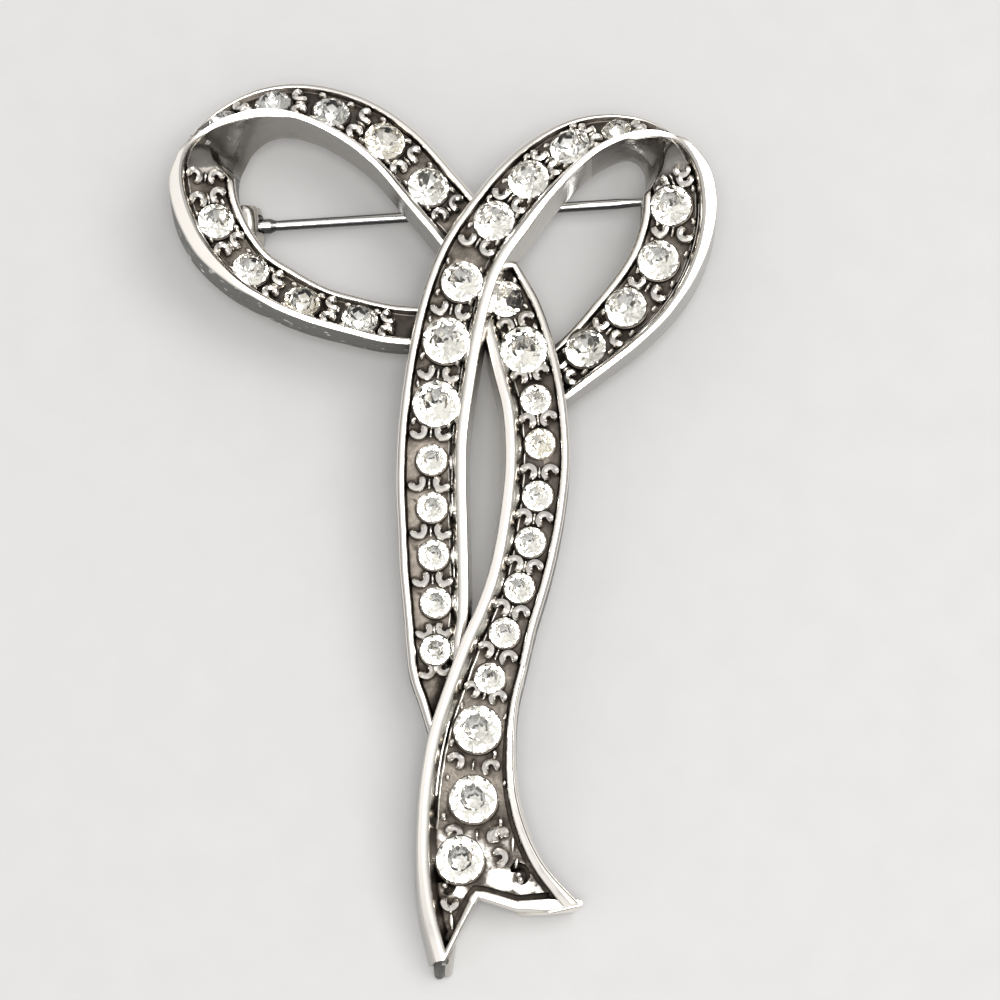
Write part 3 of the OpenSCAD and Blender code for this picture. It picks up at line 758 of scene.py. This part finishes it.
def curl(matrix, opening, size=1.0):
    """A cast curl like a letter C, with round ends, open towards the compass angle given."""
    points = []
    radii = [0.25, 0.8, 1.12, 1.15] + [1.0] * (CURL_RINGS - 8) + [1.15, 1.12, 0.8, 0.25]
    for j in range(CURL_RINGS):
        k = j / (CURL_RINGS - 1)
        a = math.radians(opening + CURL_OPEN / 2 + (360 - CURL_OPEN) * k)
        middle_point = np.array([math.cos(a), math.sin(a), 0]) * CURL_R * size
        out = np.array([math.cos(a), math.sin(a), 0])
        for i in range(CURL_SIDES):
            b = 2 * math.pi * i / CURL_SIDES
            ring = out * math.cos(b) + np.array([0, 0, 1.3]) * math.sin(b)
            points.append(middle_point + ring * CURL_WIRE * size * radii[j] + [0, 0, 0.14])
    return moved(points, matrix), tube_faces(CURL_RINGS, CURL_SIDES)


def grain(matrix, place, size):
    """A small round grain, size mm along X, Y and Z, sunk into the floor."""
    sides, levels = 10, 6
    points = []
    for j in range(levels):
        a = math.pi * (j + 0.5) / levels
        for i in range(sides):
            b = 2 * math.pi * i / sides
            unit = np.array([math.sin(a) * math.cos(b), math.sin(a) * math.sin(b), math.cos(a)])
            points.append(place + unit * np.array(size) / 2)
    return moved(points, matrix), tube_faces(levels, sides)


def lathe(matrix, profile, sides=40):
    """A solid turned round Z from (radius, height) points, with both ends capped."""
    points = [p for radius, height in profile for p in circle(0, 0, height, radius, sides)]
    return moved(points, matrix), tube_faces(len(profile), sides)


# Slivers beside a stone: size across, along and up, their share of the way across the channel and of the
# stone's radius along it
SLIVER = np.array([0.4, 0.66, 0.8])
SLIVER_PLACES = [(0.16, 0.82), (0.87, 0.82), (0.16, -0.82), (0.87, -0.82)]
# Least reach of a side that has slivers, as a share of BAND_W
SLIVER_REACH = 0.7
# Bar beside each small stone of the left-hand strand: size across, along and up, and share of the way across
BAR = np.array([0.4, 1.3, 0.5])
BAR_PLACE = 0.07

# Thin line at the foot of the channel's tall wall: share of the way across, width, height and steps in a row
LINE_AT = 0.04
LINE_W = 0.16
LINE_H = 0.34
LINE_STEPS = 6

# Flat leaves of the fork: row of the first ribbon, share of the way across it, turn in degrees and size
FORK_LEAVES = [
    (32.3, 0.09, 5, (0.4, 1.4, 0.45)),
    (30.4, 0.86, 0, (0.3, 1.3, 0.4)),
    (30.85, 0.82, -10, (0.3, 0.9, 0.4)),
]
# Curls and eyes of the fork: row of the first ribbon, share of the way across it, and angle of the opening.
# An eye is a round grain in a ring-shaped groove.
FORK_CURLS = [(30.75, 0.67, 200), (30.25, 0.7, 300), (31.85, 0.11, 80)]
FORK_EYES = [(31.15, 0.78, 200), (31.4, 0.1, 200)]
EYE_GRAIN = np.array([0.5, 0.5, 0.5])
EYE_GROOVE = 1.25
# Ridge between the two curls of a pair: size across, along and up
RIDGE = np.array([0.28, 0.85, 0.75])


def foot_line(run):
    """The thin raised line along a run, as one tube."""
    table, side, first, last = run[:4]
    count = max(2, round((last - first) * LINE_STEPS))
    ring = [(-0.5, -0.3), (0.5, -0.3), (0.5, 0.5), (0.25, 1), (-0.25, 1), (-0.5, 0.5)]
    points = []
    for j in range(count + 1):
        t = first + (last - first) * j / count
        matrix = floor_frame(table, side, t, LINE_AT)
        points += list(moved([(x * LINE_W, 0, z * LINE_H) for x, z in ring], matrix))
    return points, tube_faces(count + 1, len(ring))


def ornaments():
    """Curls, slivers and grains of every channel, by kind."""
    curls = []
    ridges = []
    slivers = []
    for table, side, t, share, size in STONES:
        if size > STONE_SMALL and reach(row(table, t), side) > SLIVER_REACH * BAND_W:
            for s, along in SLIVER_PLACES:
                slivers.append(grain(floor_frame(table, side, t, s), (0, along * size / 2, 0.05), SLIVER))
        if size == STONE_SMALL and table is SECOND and side > 0:
            slivers.append(grain(floor_frame(table, side, t, BAR_PLACE), (0, 0, 0), BAR))
    for number, run in enumerate(RUNS):
        table, side = run[0], run[1]
        for t in run_gaps(number) + [t for place, t in TWIST_PAIRS if place == number]:
            for s, opening in PAIR:
                curls.append(curl(floor_frame(table, side, t, s), opening))
            ridges.append(grain(floor_frame(table, side, t, 0.5), (0, 0, 0.1), RIDGE))
    curls += [curl(floor_frame(FIRST, 1, t, s), opening) for t, s, opening in FORK_CURLS]
    return {
        "curls": curls,
        "ridges": ridges,
        "slivers": slivers,
        "lines": [foot_line(run) for run in RUNS if run[2] < run[3]],
        "eyes": [grain(floor_frame(FIRST, 1, t, s), (0, 0, 0.02), EYE_GRAIN) for t, s, opening in FORK_EYES],
        "leaves": [
            grain(floor_frame(FIRST, 1, t, s) @ turn_about("Z", turn), (0, 0, 0), size)
            for t, s, turn, size in FORK_LEAVES
        ],
    }


def eye_grooves():
    """The grooves round the grains of the fork, to be cut out."""
    return [curl(floor_frame(FIRST, 1, t, s), opening, EYE_GROOVE) for t, s, opening in FORK_EYES]


# Collar round a stone: its width and height over the floor. It takes the dark channel finish, a dark ring that
# stands for the shaded gap round each stone: painted shade.
COLLAR_W = 0.1
COLLAR_H = 0.08
# Proportions of a stone, as shares of its size
PAVILION_SHARE = 0.36
GIRDLE_SHARE = 0.06
CROWN_SHARE = 0.19
TABLE_SHARE = 0.56


def collar(stone):
    table, side, t, s, size = stone
    r = size / 2 + SEAT_GAP + COLLAR_W
    sunk = [(r - 0.1, -0.4), (r, -0.3)]
    edge = [(r, COLLAR_H - 0.06), (r - 0.03, COLLAR_H - 0.02), (r - 0.06, COLLAR_H)]
    return lathe(floor_frame(table, side, t, s), sunk + edge)


def seat(stone):
    table, side, t, s, size = stone
    r = size / 2 + SEAT_GAP
    depth = PAVILION_SHARE * size + 2 * SEAT_GAP
    profile = [(2 * SEAT_GAP, GIRDLE_RISE - depth), (r, GIRDLE_RISE), (r, GIRDLE_RISE + size / 3)]
    return lathe(floor_frame(table, side, t, s), profile)


def into_frame(obj):
    """Puts a mesh made in millimetres round the ribbons' middle into the frame."""
    obj.data.transform(Matrix.Translation(Vector(-MIDDLE)))
    obj.data.transform(Matrix.Scale(MM, 4))
    return obj


def finish_mesh(obj, sharp_degrees):
    """Puts a mesh into the frame, smooth up to the given angle."""
    into_frame(obj)
    obj.data.shade_smooth()
    obj.data.set_sharp_from_angle(angle=math.radians(sharp_degrees))
    obj.data.update()
    return obj


# Degrees from which an edge of the casting stays sharp
CAST_SHARP = 40


def bow_casting():
    """Both ribbons with their rims, curls, collars, fork and feet, in one casting."""
    bow = combine(swept("bow_casting", FIRST), tail_rim(), "UNION")
    combine(bow, fork_gap(), "DIFFERENCE")
    for groove in (tail_groove(), thin_groove(), fork_groove()):
        combine(bow, groove, "DIFFERENCE")
    combine_all(bow, "eye_groove", eye_grooves(), "DIFFERENCE", CHANNEL)
    others = [swept("second_ribbon", SECOND), fork_rim()]
    # The left foot gets the dark finish: painted shade
    others.append(tip_foot("left_foot", [FORK[0]], LEFT_FEET, PAINTED_DARK))
    others.append(tip_foot("inner_foot", [FORK[0]], INNER_FEET, BACK))
    others.append(tip_foot("right_foot", [FORK[-1], FORK[-2]], RIGHT_FEET, PLATE))
    for other in others:
        combine(bow, other, "UNION")
    for kind, solids in ornaments().items():
        combine_all(bow, kind, solids, "UNION", GRAIN)
    # Collars in the dark channel finish: painted shade round the stones
    combine_all(bow, "collar", [collar(stone) for stone in STONES], "UNION", CHANNEL)
    combine_all(bow, "seat", [seat(stone) for stone in STONES], "DIFFERENCE", CHANNEL)
    return finish_mesh(bow, CAST_SHARP)


# Hinge and catch, as in the solids: place of the rivet, turn of the pin, and sizes
HINGE = [-0.363, 0.361]
PIN_TURN = 3.8
PIN_Z = 1.7
CATCH_REACH = 30.8
EAR_LEN = 2.4
EAR_T = 0.6
EYE_W = 1.2
RUN_GAP = 0.06
RIVET_D = 0.7
BACK_Z = 3.6
BACK_GAP = 0.03
PLATE_T = 0.5
PLATE_BACK = 4.1
PLATE_FRONT = 0.6
HINGE_SHARP = 35
# Width of the hood over the eye at its middle and at its cheeks, as shares of EAR_LEN, its room over the pin
# and the points and rings of its rounding
HOOD_CROWN = 1.1
HOOD_CHEEK = 0.82
HOOD_ROOM = 1.1
HOOD_POINTS = 16
HOOD_RINGS = 13
# Grooves round the hood: their angles from the pin's side, depth and width in degrees
HOOD_GROOVES = [35, 62]
HOOD_GROOVE_DEEP = 0.09
HOOD_GROOVE_WIDE = 5


def under_pin(x):
    """Place on the surface below the pin, x mm from the rivet, with X along the pin."""
    place = np.array(Matrix.Translation((BROOCH_W * HINGE[0], BROOCH_H * HINGE[1], 0)))
    return place @ turn_about("Z", PIN_TURN) @ np.array(Matrix.Translation((x, 0, 0)))


def hood_outline(share):
    """Section of a hood: flat foot, upright sides and arched top, as (along the pin, height)."""
    half = EAR_LEN / 2 * share
    top = BACK_Z - BACK_GAP - PIN_Z
    outline = [(-0.7 * half, 0), (0.7 * half, 0), (0.9 * half, 0.12), (half, 0.4)]
    for j in range(HOOD_POINTS + 1):
        degrees = 180 * j / HOOD_POINTS
        deep = sum(math.exp(-((degrees - groove) / HOOD_GROOVE_WIDE) ** 2) for groove in HOOD_GROOVES)
        r = 1 - HOOD_GROOVE_DEEP * deep
        a = math.radians(degrees)
        outline.append((half * r * math.cos(a), PIN_Z + top * share * r * math.sin(a)))
    return outline + [(-half, 0.4), (-0.9 * half, 0.12)]


def hood(name, x):
    """Crowned hood over the pin, open below and along it, with one cheek on each side."""
    side = EYE_W / 2 + RUN_GAP
    half = side + EAR_T
    points = []
    for j in range(HOOD_RINGS):
        a = math.radians(-90 + 180 * j / (HOOD_RINGS - 1))
        outline = hood_outline(HOOD_CHEEK + (HOOD_CROWN - HOOD_CHEEK) * max(0, math.cos(a)) ** 0.5)
        points += [(px, half * math.sin(a), min(pz, BACK_Z - BACK_GAP)) for px, pz in outline]
    matrix = under_pin(x)
    obj = outward(mesh_object(name, moved(points, matrix), tube_faces(HOOD_RINGS, len(outline)), BACK))
    floor = [(-EAR_LEN, -side), (EAR_LEN, -side), (EAR_LEN, side), (-EAR_LEN, side)]
    slot = [(px, py, pz) for pz in (-1, PIN_Z + HOOD_ROOM) for px, py in floor]
    return combine(obj, joined("slot", [(moved(slot, matrix), tube_faces(2, 4))], BACK), "DIFFERENCE")


def back_plate(x, length):
    """Flat plate behind the casting with rounded edges, from x mm along the pin's line."""
    half = EYE_W / 2 + RUN_GAP + EAR_T
    top = BACK_Z - BACK_GAP
    places = [(0, 0.12), (0.05, 0.03), (0.16, 0), (length - 0.16, 0), (length - 0.05, 0.03), (length, 0.12)]
    points = []
    for place, less in places:
        box = rounded_box(half - less, top - less / 2, top - PLATE_T + BACK_GAP + less / 2, 0.12)
        points += [(x + place, across, height) for across, height in box]
    return moved(points, under_pin(0)), tube_faces(len(places), len(box))


def rivet_bore():
    """Room for the rivet, through both cheeks."""
    r = RIVET_D / 2 + RUN_GAP
    place = under_pin(0) @ np.array(Matrix.Translation((0, 0, PIN_Z))) @ turn_about("X", 90)
    return joined("bore", [lathe(place, [(r, -3), (r, 3)], 32)], BACK)


def hinge_knuckle():
    """The hood over the pin's eye with its back plate, bored for the rivet."""
    plate = joined("plate", [back_plate(-PLATE_BACK, PLATE_BACK - PLATE_FRONT)], BACK)
    knuckle = combine(hood("hinge_knuckle", 0), plate, "UNION")
    return finish_mesh(combine(knuckle, rivet_bore(), "DIFFERENCE"), HINGE_SHARP)


def catch_hood():
    return finish_mesh(hood("catch_hood", CATCH_REACH), HINGE_SHARP)


def cut_stone(name, stone, spin):
    """A brilliant cut: table, stars, kites and halves above the girdle, and a foiled pavilion below it."""
    table, side, t, s, size = stone
    r = size / 2
    girdle = GIRDLE_SHARE * size
    top = girdle + CROWN_SHARE * size
    depth = PAVILION_SHARE * size
    table_r = TABLE_SHARE * size / 2
    star_r = table_r + 0.45 * (r - table_r)
    low_r = 0.5 * r
    lean = math.cos(math.radians(22.5))
    star_z = top + (star_r * lean - table_r) / (r - table_r) * (girdle - top)
    low_z = -depth * (1 - low_r * lean / r)

    def ring(radius, z, count, first):
        angles = [math.radians(first + 360 * i / count + spin) for i in range(count)]
        return [(radius * math.cos(a), radius * math.sin(a), z) for a in angles]

    points = ring(table_r, top, 8, 0) + ring(star_r, star_z, 8, 22.5) + ring(r, girdle, 16, 0)
    points += ring(r, 0, 16, 0) + ring(low_r, low_z, 8, 22.5) + [(0, 0, -depth)]
    crown = [list(range(8))]
    back = []
    for i in range(8):
        j = (i + 1) % 8
        g = 16 + 2 * i
        g_next = 16 + (2 * i + 2) % 16
        crown += [[i, 8 + i, j], [i, 8 + (i - 1) % 8, g, 8 + i], [8 + i, g, g + 1], [8 + i, g + 1, g_next]]
        back += [[48 + i, g + 17, g + 16], [48 + i, g_next + 16, g + 17]]
        back.append([56, 48 + i, g + 16, 48 + (i - 1) % 8])
    girdle_band = [[16 + i, 32 + i, 32 + (i + 1) % 16, 16 + (i + 1) % 16] for i in range(16)]
    matrix = floor_frame(table, side, t, s)
    placed_points = moved(np.array(points) + [0, 0, GIRDLE_RISE], matrix)
    finish = [0] * (len(crown) + len(girdle_band)) + [1] * len(back)
    return into_frame(outward(mesh_object(name, placed_points, crown + girdle_band + back, finish)))


# Materials: shaders with procedural stains, painted shade from ambient occlusion, and painted highlights and
# reflections where noted; coordinates are in metres


def material(name):
    made = bpy.data.materials.get(name) or bpy.data.materials.new(name)
    made.use_nodes = True
    return made, made.node_tree.nodes, made.node_tree.links, made.node_tree.nodes["Principled BSDF"]


def noise_node(nodes, links, scale, detail=3):
    place = nodes.new("ShaderNodeTexCoord")
    texture = nodes.new("ShaderNodeTexNoise")
    texture.inputs["Scale"].default_value = scale
    texture.inputs["Detail"].default_value = detail
    links.new(place.outputs["Object"], texture.inputs["Vector"])
    return texture


def ranged(nodes, links, source, low, high, to_low, to_high):
    """Maps values from low..high to to_low..to_high, held at the ends."""
    node = nodes.new("ShaderNodeMapRange")
    node.inputs["From Min"].default_value = low
    node.inputs["From Max"].default_value = high
    node.inputs["To Min"].default_value = to_low
    node.inputs["To Max"].default_value = to_high
    links.new(source, node.inputs["Value"])
    return node.outputs["Result"]


def ramp(nodes, links, source, stops):
    node = nodes.new("ShaderNodeValToRGB")
    elements = node.color_ramp.elements
    while len(elements) < len(stops):
        elements.new(0.5)
    for element, (place, colour) in zip(elements, stops):
        element.position = place
        element.color = (*colour, 1)
    links.new(source, node.inputs["Fac"])
    return node.outputs["Color"]


def bump(nodes, links, shader, source, strength, distance):
    node = nodes.new("ShaderNodeBump")
    node.inputs["Strength"].default_value = strength
    node.inputs["Distance"].default_value = distance
    links.new(source, node.inputs["Height"])
    links.new(node.outputs["Normal"], shader.inputs["Normal"])


# How far a painted highlight and a polished speck raise the value that the stops are read at
PAINTED_HIGHLIGHT_LIFT = 0.3
SPECK_LIFT = 0.2


def added(nodes, links, value, more):
    node = nodes.new("ShaderNodeMath")
    node.operation = "ADD"
    links.new(value, node.inputs[0])
    links.new(more, node.inputs[1])
    return node.outputs["Value"]


def brightened(nodes, links, value, place, radius):
    """Adds a little to the value round a place, given in mm, and nothing outside the radius: a painted
    highlight.
    """
    where = nodes.new("ShaderNodeTexCoord")
    far = nodes.new("ShaderNodeVectorMath")
    far.operation = "DISTANCE"
    links.new(where.outputs["Object"], far.inputs[0])
    far.inputs[1].default_value = Vector(place) * MM
    near = ranged(nodes, links, far.outputs["Value"], radius * MM / 2, radius * MM, PAINTED_HIGHLIGHT_LIFT, 0)
    return added(nodes, links, value, near)


def metal(name, stops, smooth, rough, cavity_mm, bump_mm, bump_scale=2600, spots=(), specks=0, metallic=1):
    """Cast metal whose hollows are darker and duller, by ambient occlusion: painted shade over the patina of
    the casting. Stops run from a closed hollow to the open surface.

    Spots are painted highlights: places in mm with a radius, which are brighter in their middle. Specks is the
    scale of a noise whose highest places are polished.
    """
    made, nodes, links, shader = material(name)
    shader.inputs["Metallic"].default_value = metallic
    # Ambient occlusion darkens and roughens the base colour in hollows: painted shade, on top of the patina
    hollow = nodes.new("ShaderNodeAmbientOcclusion")
    hollow.samples = 8
    hollow.only_local = True
    hollow.inputs["Distance"].default_value = cavity_mm * MM
    stain = noise_node(nodes, links, 1600)
    change = ranged(nodes, links, stain.outputs["Fac"], 0.3, 0.7, -0.1, 0.1)
    value = added(nodes, links, hollow.outputs["AO"], change)
    if specks:
        value = ranged(nodes, links, value, 0, 1, 0, 1 - SPECK_LIFT)
        high = noise_node(nodes, links, specks, 1)
        speck = ranged(nodes, links, high.outputs["Fac"], 0.64, 0.72, 0, SPECK_LIFT)
        value = added(nodes, links, value, speck)
    for place, radius in spots:
        value = brightened(nodes, links, value, place, radius)
    links.new(ramp(nodes, links, value, stops), shader.inputs["Base Color"])
    links.new(ranged(nodes, links, value, 0.2, 0.8, rough, smooth), shader.inputs["Roughness"])
    fine = noise_node(nodes, links, bump_scale, 4)
    bump(nodes, links, shader, fine.outputs["Fac"], 0.5, bump_mm * MM)
    return made


# Painted highlights on the fork's flat: middle and radius, in mm
FORK_PAINTED_HIGHLIGHTS = [((4.2, -25.3, 3.6), 1.1), ((5.7, -25.8, 3.5), 0.7), ((1.4, -26.1, 3.4), 0.6)]

# Each finish is darker where ambient occlusion finds a hollow: painted shade over the patina; on the grains its
# short reach paints a dark contact line round each one
cast_metal = metal(
    "cast_plate",
    [(0.1, (0.06, 0.05, 0.04)), (0.4, (0.4, 0.36, 0.32)), (0.75, (0.93, 0.885, 0.82))],
    0.16, 0.4, 0.7, 0.012,
)
metal(
    "dark_channel",
    [(0.35, (0.015, 0.012, 0.01)), (0.7, (0.05, 0.042, 0.034)), (0.95, (0.15, 0.13, 0.11))],
    0.38, 0.55, 0.7, 0.05, 3500,
)
metal(
    "bright_grain",
    [(0.2, (0.06, 0.05, 0.04)), (0.5, (0.5, 0.45, 0.39)), (0.8, (0.95, 0.905, 0.84))],
    0.2, 0.4, 0.35, 0.03,
)
# Dark wall finish: painted shade and dark painted reflection, with polished specks of the cast surface
metal(
    "grey_wall",
    [
        (0.2, (0.01, 0.01, 0.008)),
        (0.5, (0.03, 0.03, 0.025)),
        (0.8, (0.075, 0.075, 0.065)),
        (1, (0.9, 0.87, 0.82)),
    ],
    0.4, 0.55, 0.7, 0.08, 1800, specks=1500, metallic=0.2,
)
# Dim finish: a darker base colour that stands in for shade: painted shade
metal(
    "dim_wall",
    [(0.2, (0.03, 0.027, 0.022)), (0.6, (0.12, 0.11, 0.1)), (1, (0.28, 0.265, 0.24))],
    0.16, 0.4, 0.7, 0.03, 1800,
)
# Fork floor: dark patina with painted highlights at the listed places
metal(
    "fork_floor",
    [
        (0.3, (0.015, 0.012, 0.01)),
        (0.65, (0.05, 0.042, 0.034)),
        (0.95, (0.16, 0.14, 0.12)),
        (1, (0.95, 0.91, 0.85)),
    ],
    0.38, 0.55, 0.7, 0.05, 3500, spots=FORK_PAINTED_HIGHLIGHTS,
)
metal(
    "worn_back",
    [(0.2, (0.05, 0.045, 0.04)), (0.6, (0.25, 0.235, 0.21)), (1, (0.58, 0.55, 0.5))],
    0.16, 0.4, 0.7, 0.03, 1800,
)


def painted_stripe_wire():
    """Wire whose base colour is bright where its normal points up or down and dark on its flanks: painted
    reflections, the stripes that the surroundings give a round wire.
    """
    made, nodes, links, shader = material("pin_painted_stripes")
    shader.inputs["Metallic"].default_value = 1
    place = nodes.new("ShaderNodeTexCoord")
    parts_of = nodes.new("ShaderNodeSeparateXYZ")
    links.new(place.outputs["Normal"], parts_of.inputs["Vector"])
    upright = nodes.new("ShaderNodeMath")
    upright.operation = "ABSOLUTE"
    links.new(parts_of.outputs["Z"], upright.inputs[0])
    # Dark flanks and bright top and bottom, by the normal: painted reflection
    stops = [(0.6, (0.1, 0.1, 0.1)), (0.82, (0.16, 0.16, 0.16)), (0.93, (0.9, 0.9, 0.9))]
    links.new(ramp(nodes, links, upright.outputs["Value"], stops), shader.inputs["Base Color"])
    stain = noise_node(nodes, links, 1600)
    links.new(ranged(nodes, links, stain.outputs["Fac"], 0.3, 0.7, 0.1, 0.2), shader.inputs["Roughness"])
    return made


pin_painted_stripes = painted_stripe_wire()


def glass():
    made, nodes, links, shader = material("clear_glass")
    shader.inputs["Base Color"].default_value = (1, 1, 1, 1)
    shader.inputs["Transmission Weight"].default_value = 1
    shader.inputs["IOR"].default_value = 1.56
    smear = noise_node(nodes, links, 900)
    links.new(ranged(nodes, links, smear.outputs["Fac"], 0.55, 0.8, 0, 0.03), shader.inputs["Roughness"])
    return made


def foil(name, colour, tarnish):
    made, nodes, links, shader = material(name)
    shader.inputs["Metallic"].default_value = 1
    spots = noise_node(nodes, links, 1200)
    colours = ramp(nodes, links, spots.outputs["Fac"], [(0.35, tarnish), (0.5, colour)])
    links.new(colours, shader.inputs["Base Color"])
    links.new(ranged(nodes, links, spots.outputs["Fac"], 0.3, 0.7, 0.12, 0.04), shader.inputs["Roughness"])
    return made


clear = glass()
silver_foil = foil("silver_foil", (0.95, 0.935, 0.89), (0.74, 0.73, 0.69))
aged_foil = foil("aged_foil", (0.93, 0.9, 0.83), (0.7, 0.66, 0.55))

# Stones whose foil has yellowed
AGED = (2, 8, 13, 33)


def paint(obj, *materials):
    """Gives the mesh these materials and keeps which face has which."""
    which = [polygon.material_index for polygon in obj.data.polygons]
    obj.data.materials.clear()
    for one in materials:
        obj.data.materials.append(one)
    obj.data.polygons.foreach_set("material_index", which)
    return obj


# Pieces

bow = bow_casting()
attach(bow, "root")
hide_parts("ribbon")

for number, stone in enumerate(STONES, start=1):
    piece = cut_stone(f"cut_stone_{number:02d}", stone, 37 * number % 45)
    paint(piece, clear, aged_foil if number in AGED else silver_foil)
    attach(piece, "root")
    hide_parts(f"stone_{number:02d}")

for piece, node in ((hinge_knuckle(), "hinge_bracket"), (catch_hood(), "catch")):
    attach(piece, "root")
    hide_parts(node)

paint(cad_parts["pin_stem"], pin_painted_stripes)
paint(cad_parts["hinge_rivet"], cast_metal)


# Surface below, light and camera


def table_top():
    side = 1.5
    points = [(-side, -side, 0), (side, -side, 0), (side, side, 0), (-side, side, 0)]
    obj = mesh_object("table_top", points, [[0, 1, 2, 3]])
    made, nodes, links, shader = material("pale_paper")
    cloud = noise_node(nodes, links, 300)
    stops = [(0.3, (0.525, 0.519, 0.512)), (0.7, (0.54, 0.534, 0.527))]
    links.new(ramp(nodes, links, cloud.outputs["Fac"], stops), shader.inputs["Base Color"])
    shader.inputs["Roughness"].default_value = 0.6
    paint(obj, made)


table_top()


def softbox(name, place, size, power):
    light = bpy.data.lights.new(name, "AREA")
    light.shape = "RECTANGLE"
    light.size, light.size_y = size
    light.energy = power
    obj = bpy.data.objects.new(name, light)
    bpy.context.scene.collection.objects.link(obj)
    obj.location = place
    obj.rotation_euler = (-obj.location).to_track_quat("-Z", "Y").to_euler()


softbox("window", (0.24, 0.08, 0.55), (0.35, 0.3), 1.4)
softbox("ceiling", (0.01, -0.12, 0.62), (0.2, 0.2), 1.5)

world = bpy.data.worlds.new("surroundings")
world.use_nodes = True
room = world.node_tree.nodes
way = room.new("ShaderNodeTexCoord")
parts = room.new("ShaderNodeSeparateXYZ")
world.node_tree.links.new(way.outputs["Generated"], parts.inputs["Vector"])
walls = [
    (0.0, (0.07, 0.068, 0.066)),
    (0.12, (0.1, 0.098, 0.095)),
    (0.24, (0.5, 0.5, 0.5)),
    (0.6, (0.62, 0.62, 0.62)),
    (0.8, (0.98, 0.98, 0.98)),
    (1.0, (1.05, 1.05, 1.05)),
]
world.node_tree.links.new(
    ramp(room, world.node_tree.links, parts.outputs["Z"], walls), room["Background"].inputs["Color"]
)
bpy.context.scene.world = world
bpy.context.scene.view_settings.view_transform = "Standard"

ELEVATION = math.radians(79)
DISTANCE = 0.3
TARGET = Vector((0.004124, 0.001769, 0.004))
camera_data = bpy.data.cameras.new("camera")
camera_data.lens = 151.5
camera_data.sensor_width = 36
camera_data.clip_start = 0.01
camera = bpy.data.objects.new("camera", camera_data)
bpy.context.scene.collection.objects.link(camera)
camera.location = TARGET + Vector((0, -math.cos(ELEVATION), math.sin(ELEVATION))) * DISTANCE
camera.rotation_euler = (TARGET - camera.location).to_track_quat("-Z", "Y").to_euler()
bpy.context.scene.camera = camera

# Corners of a box, as lists


def corners(bounds):
    return [list(corner) for corner in bounds]
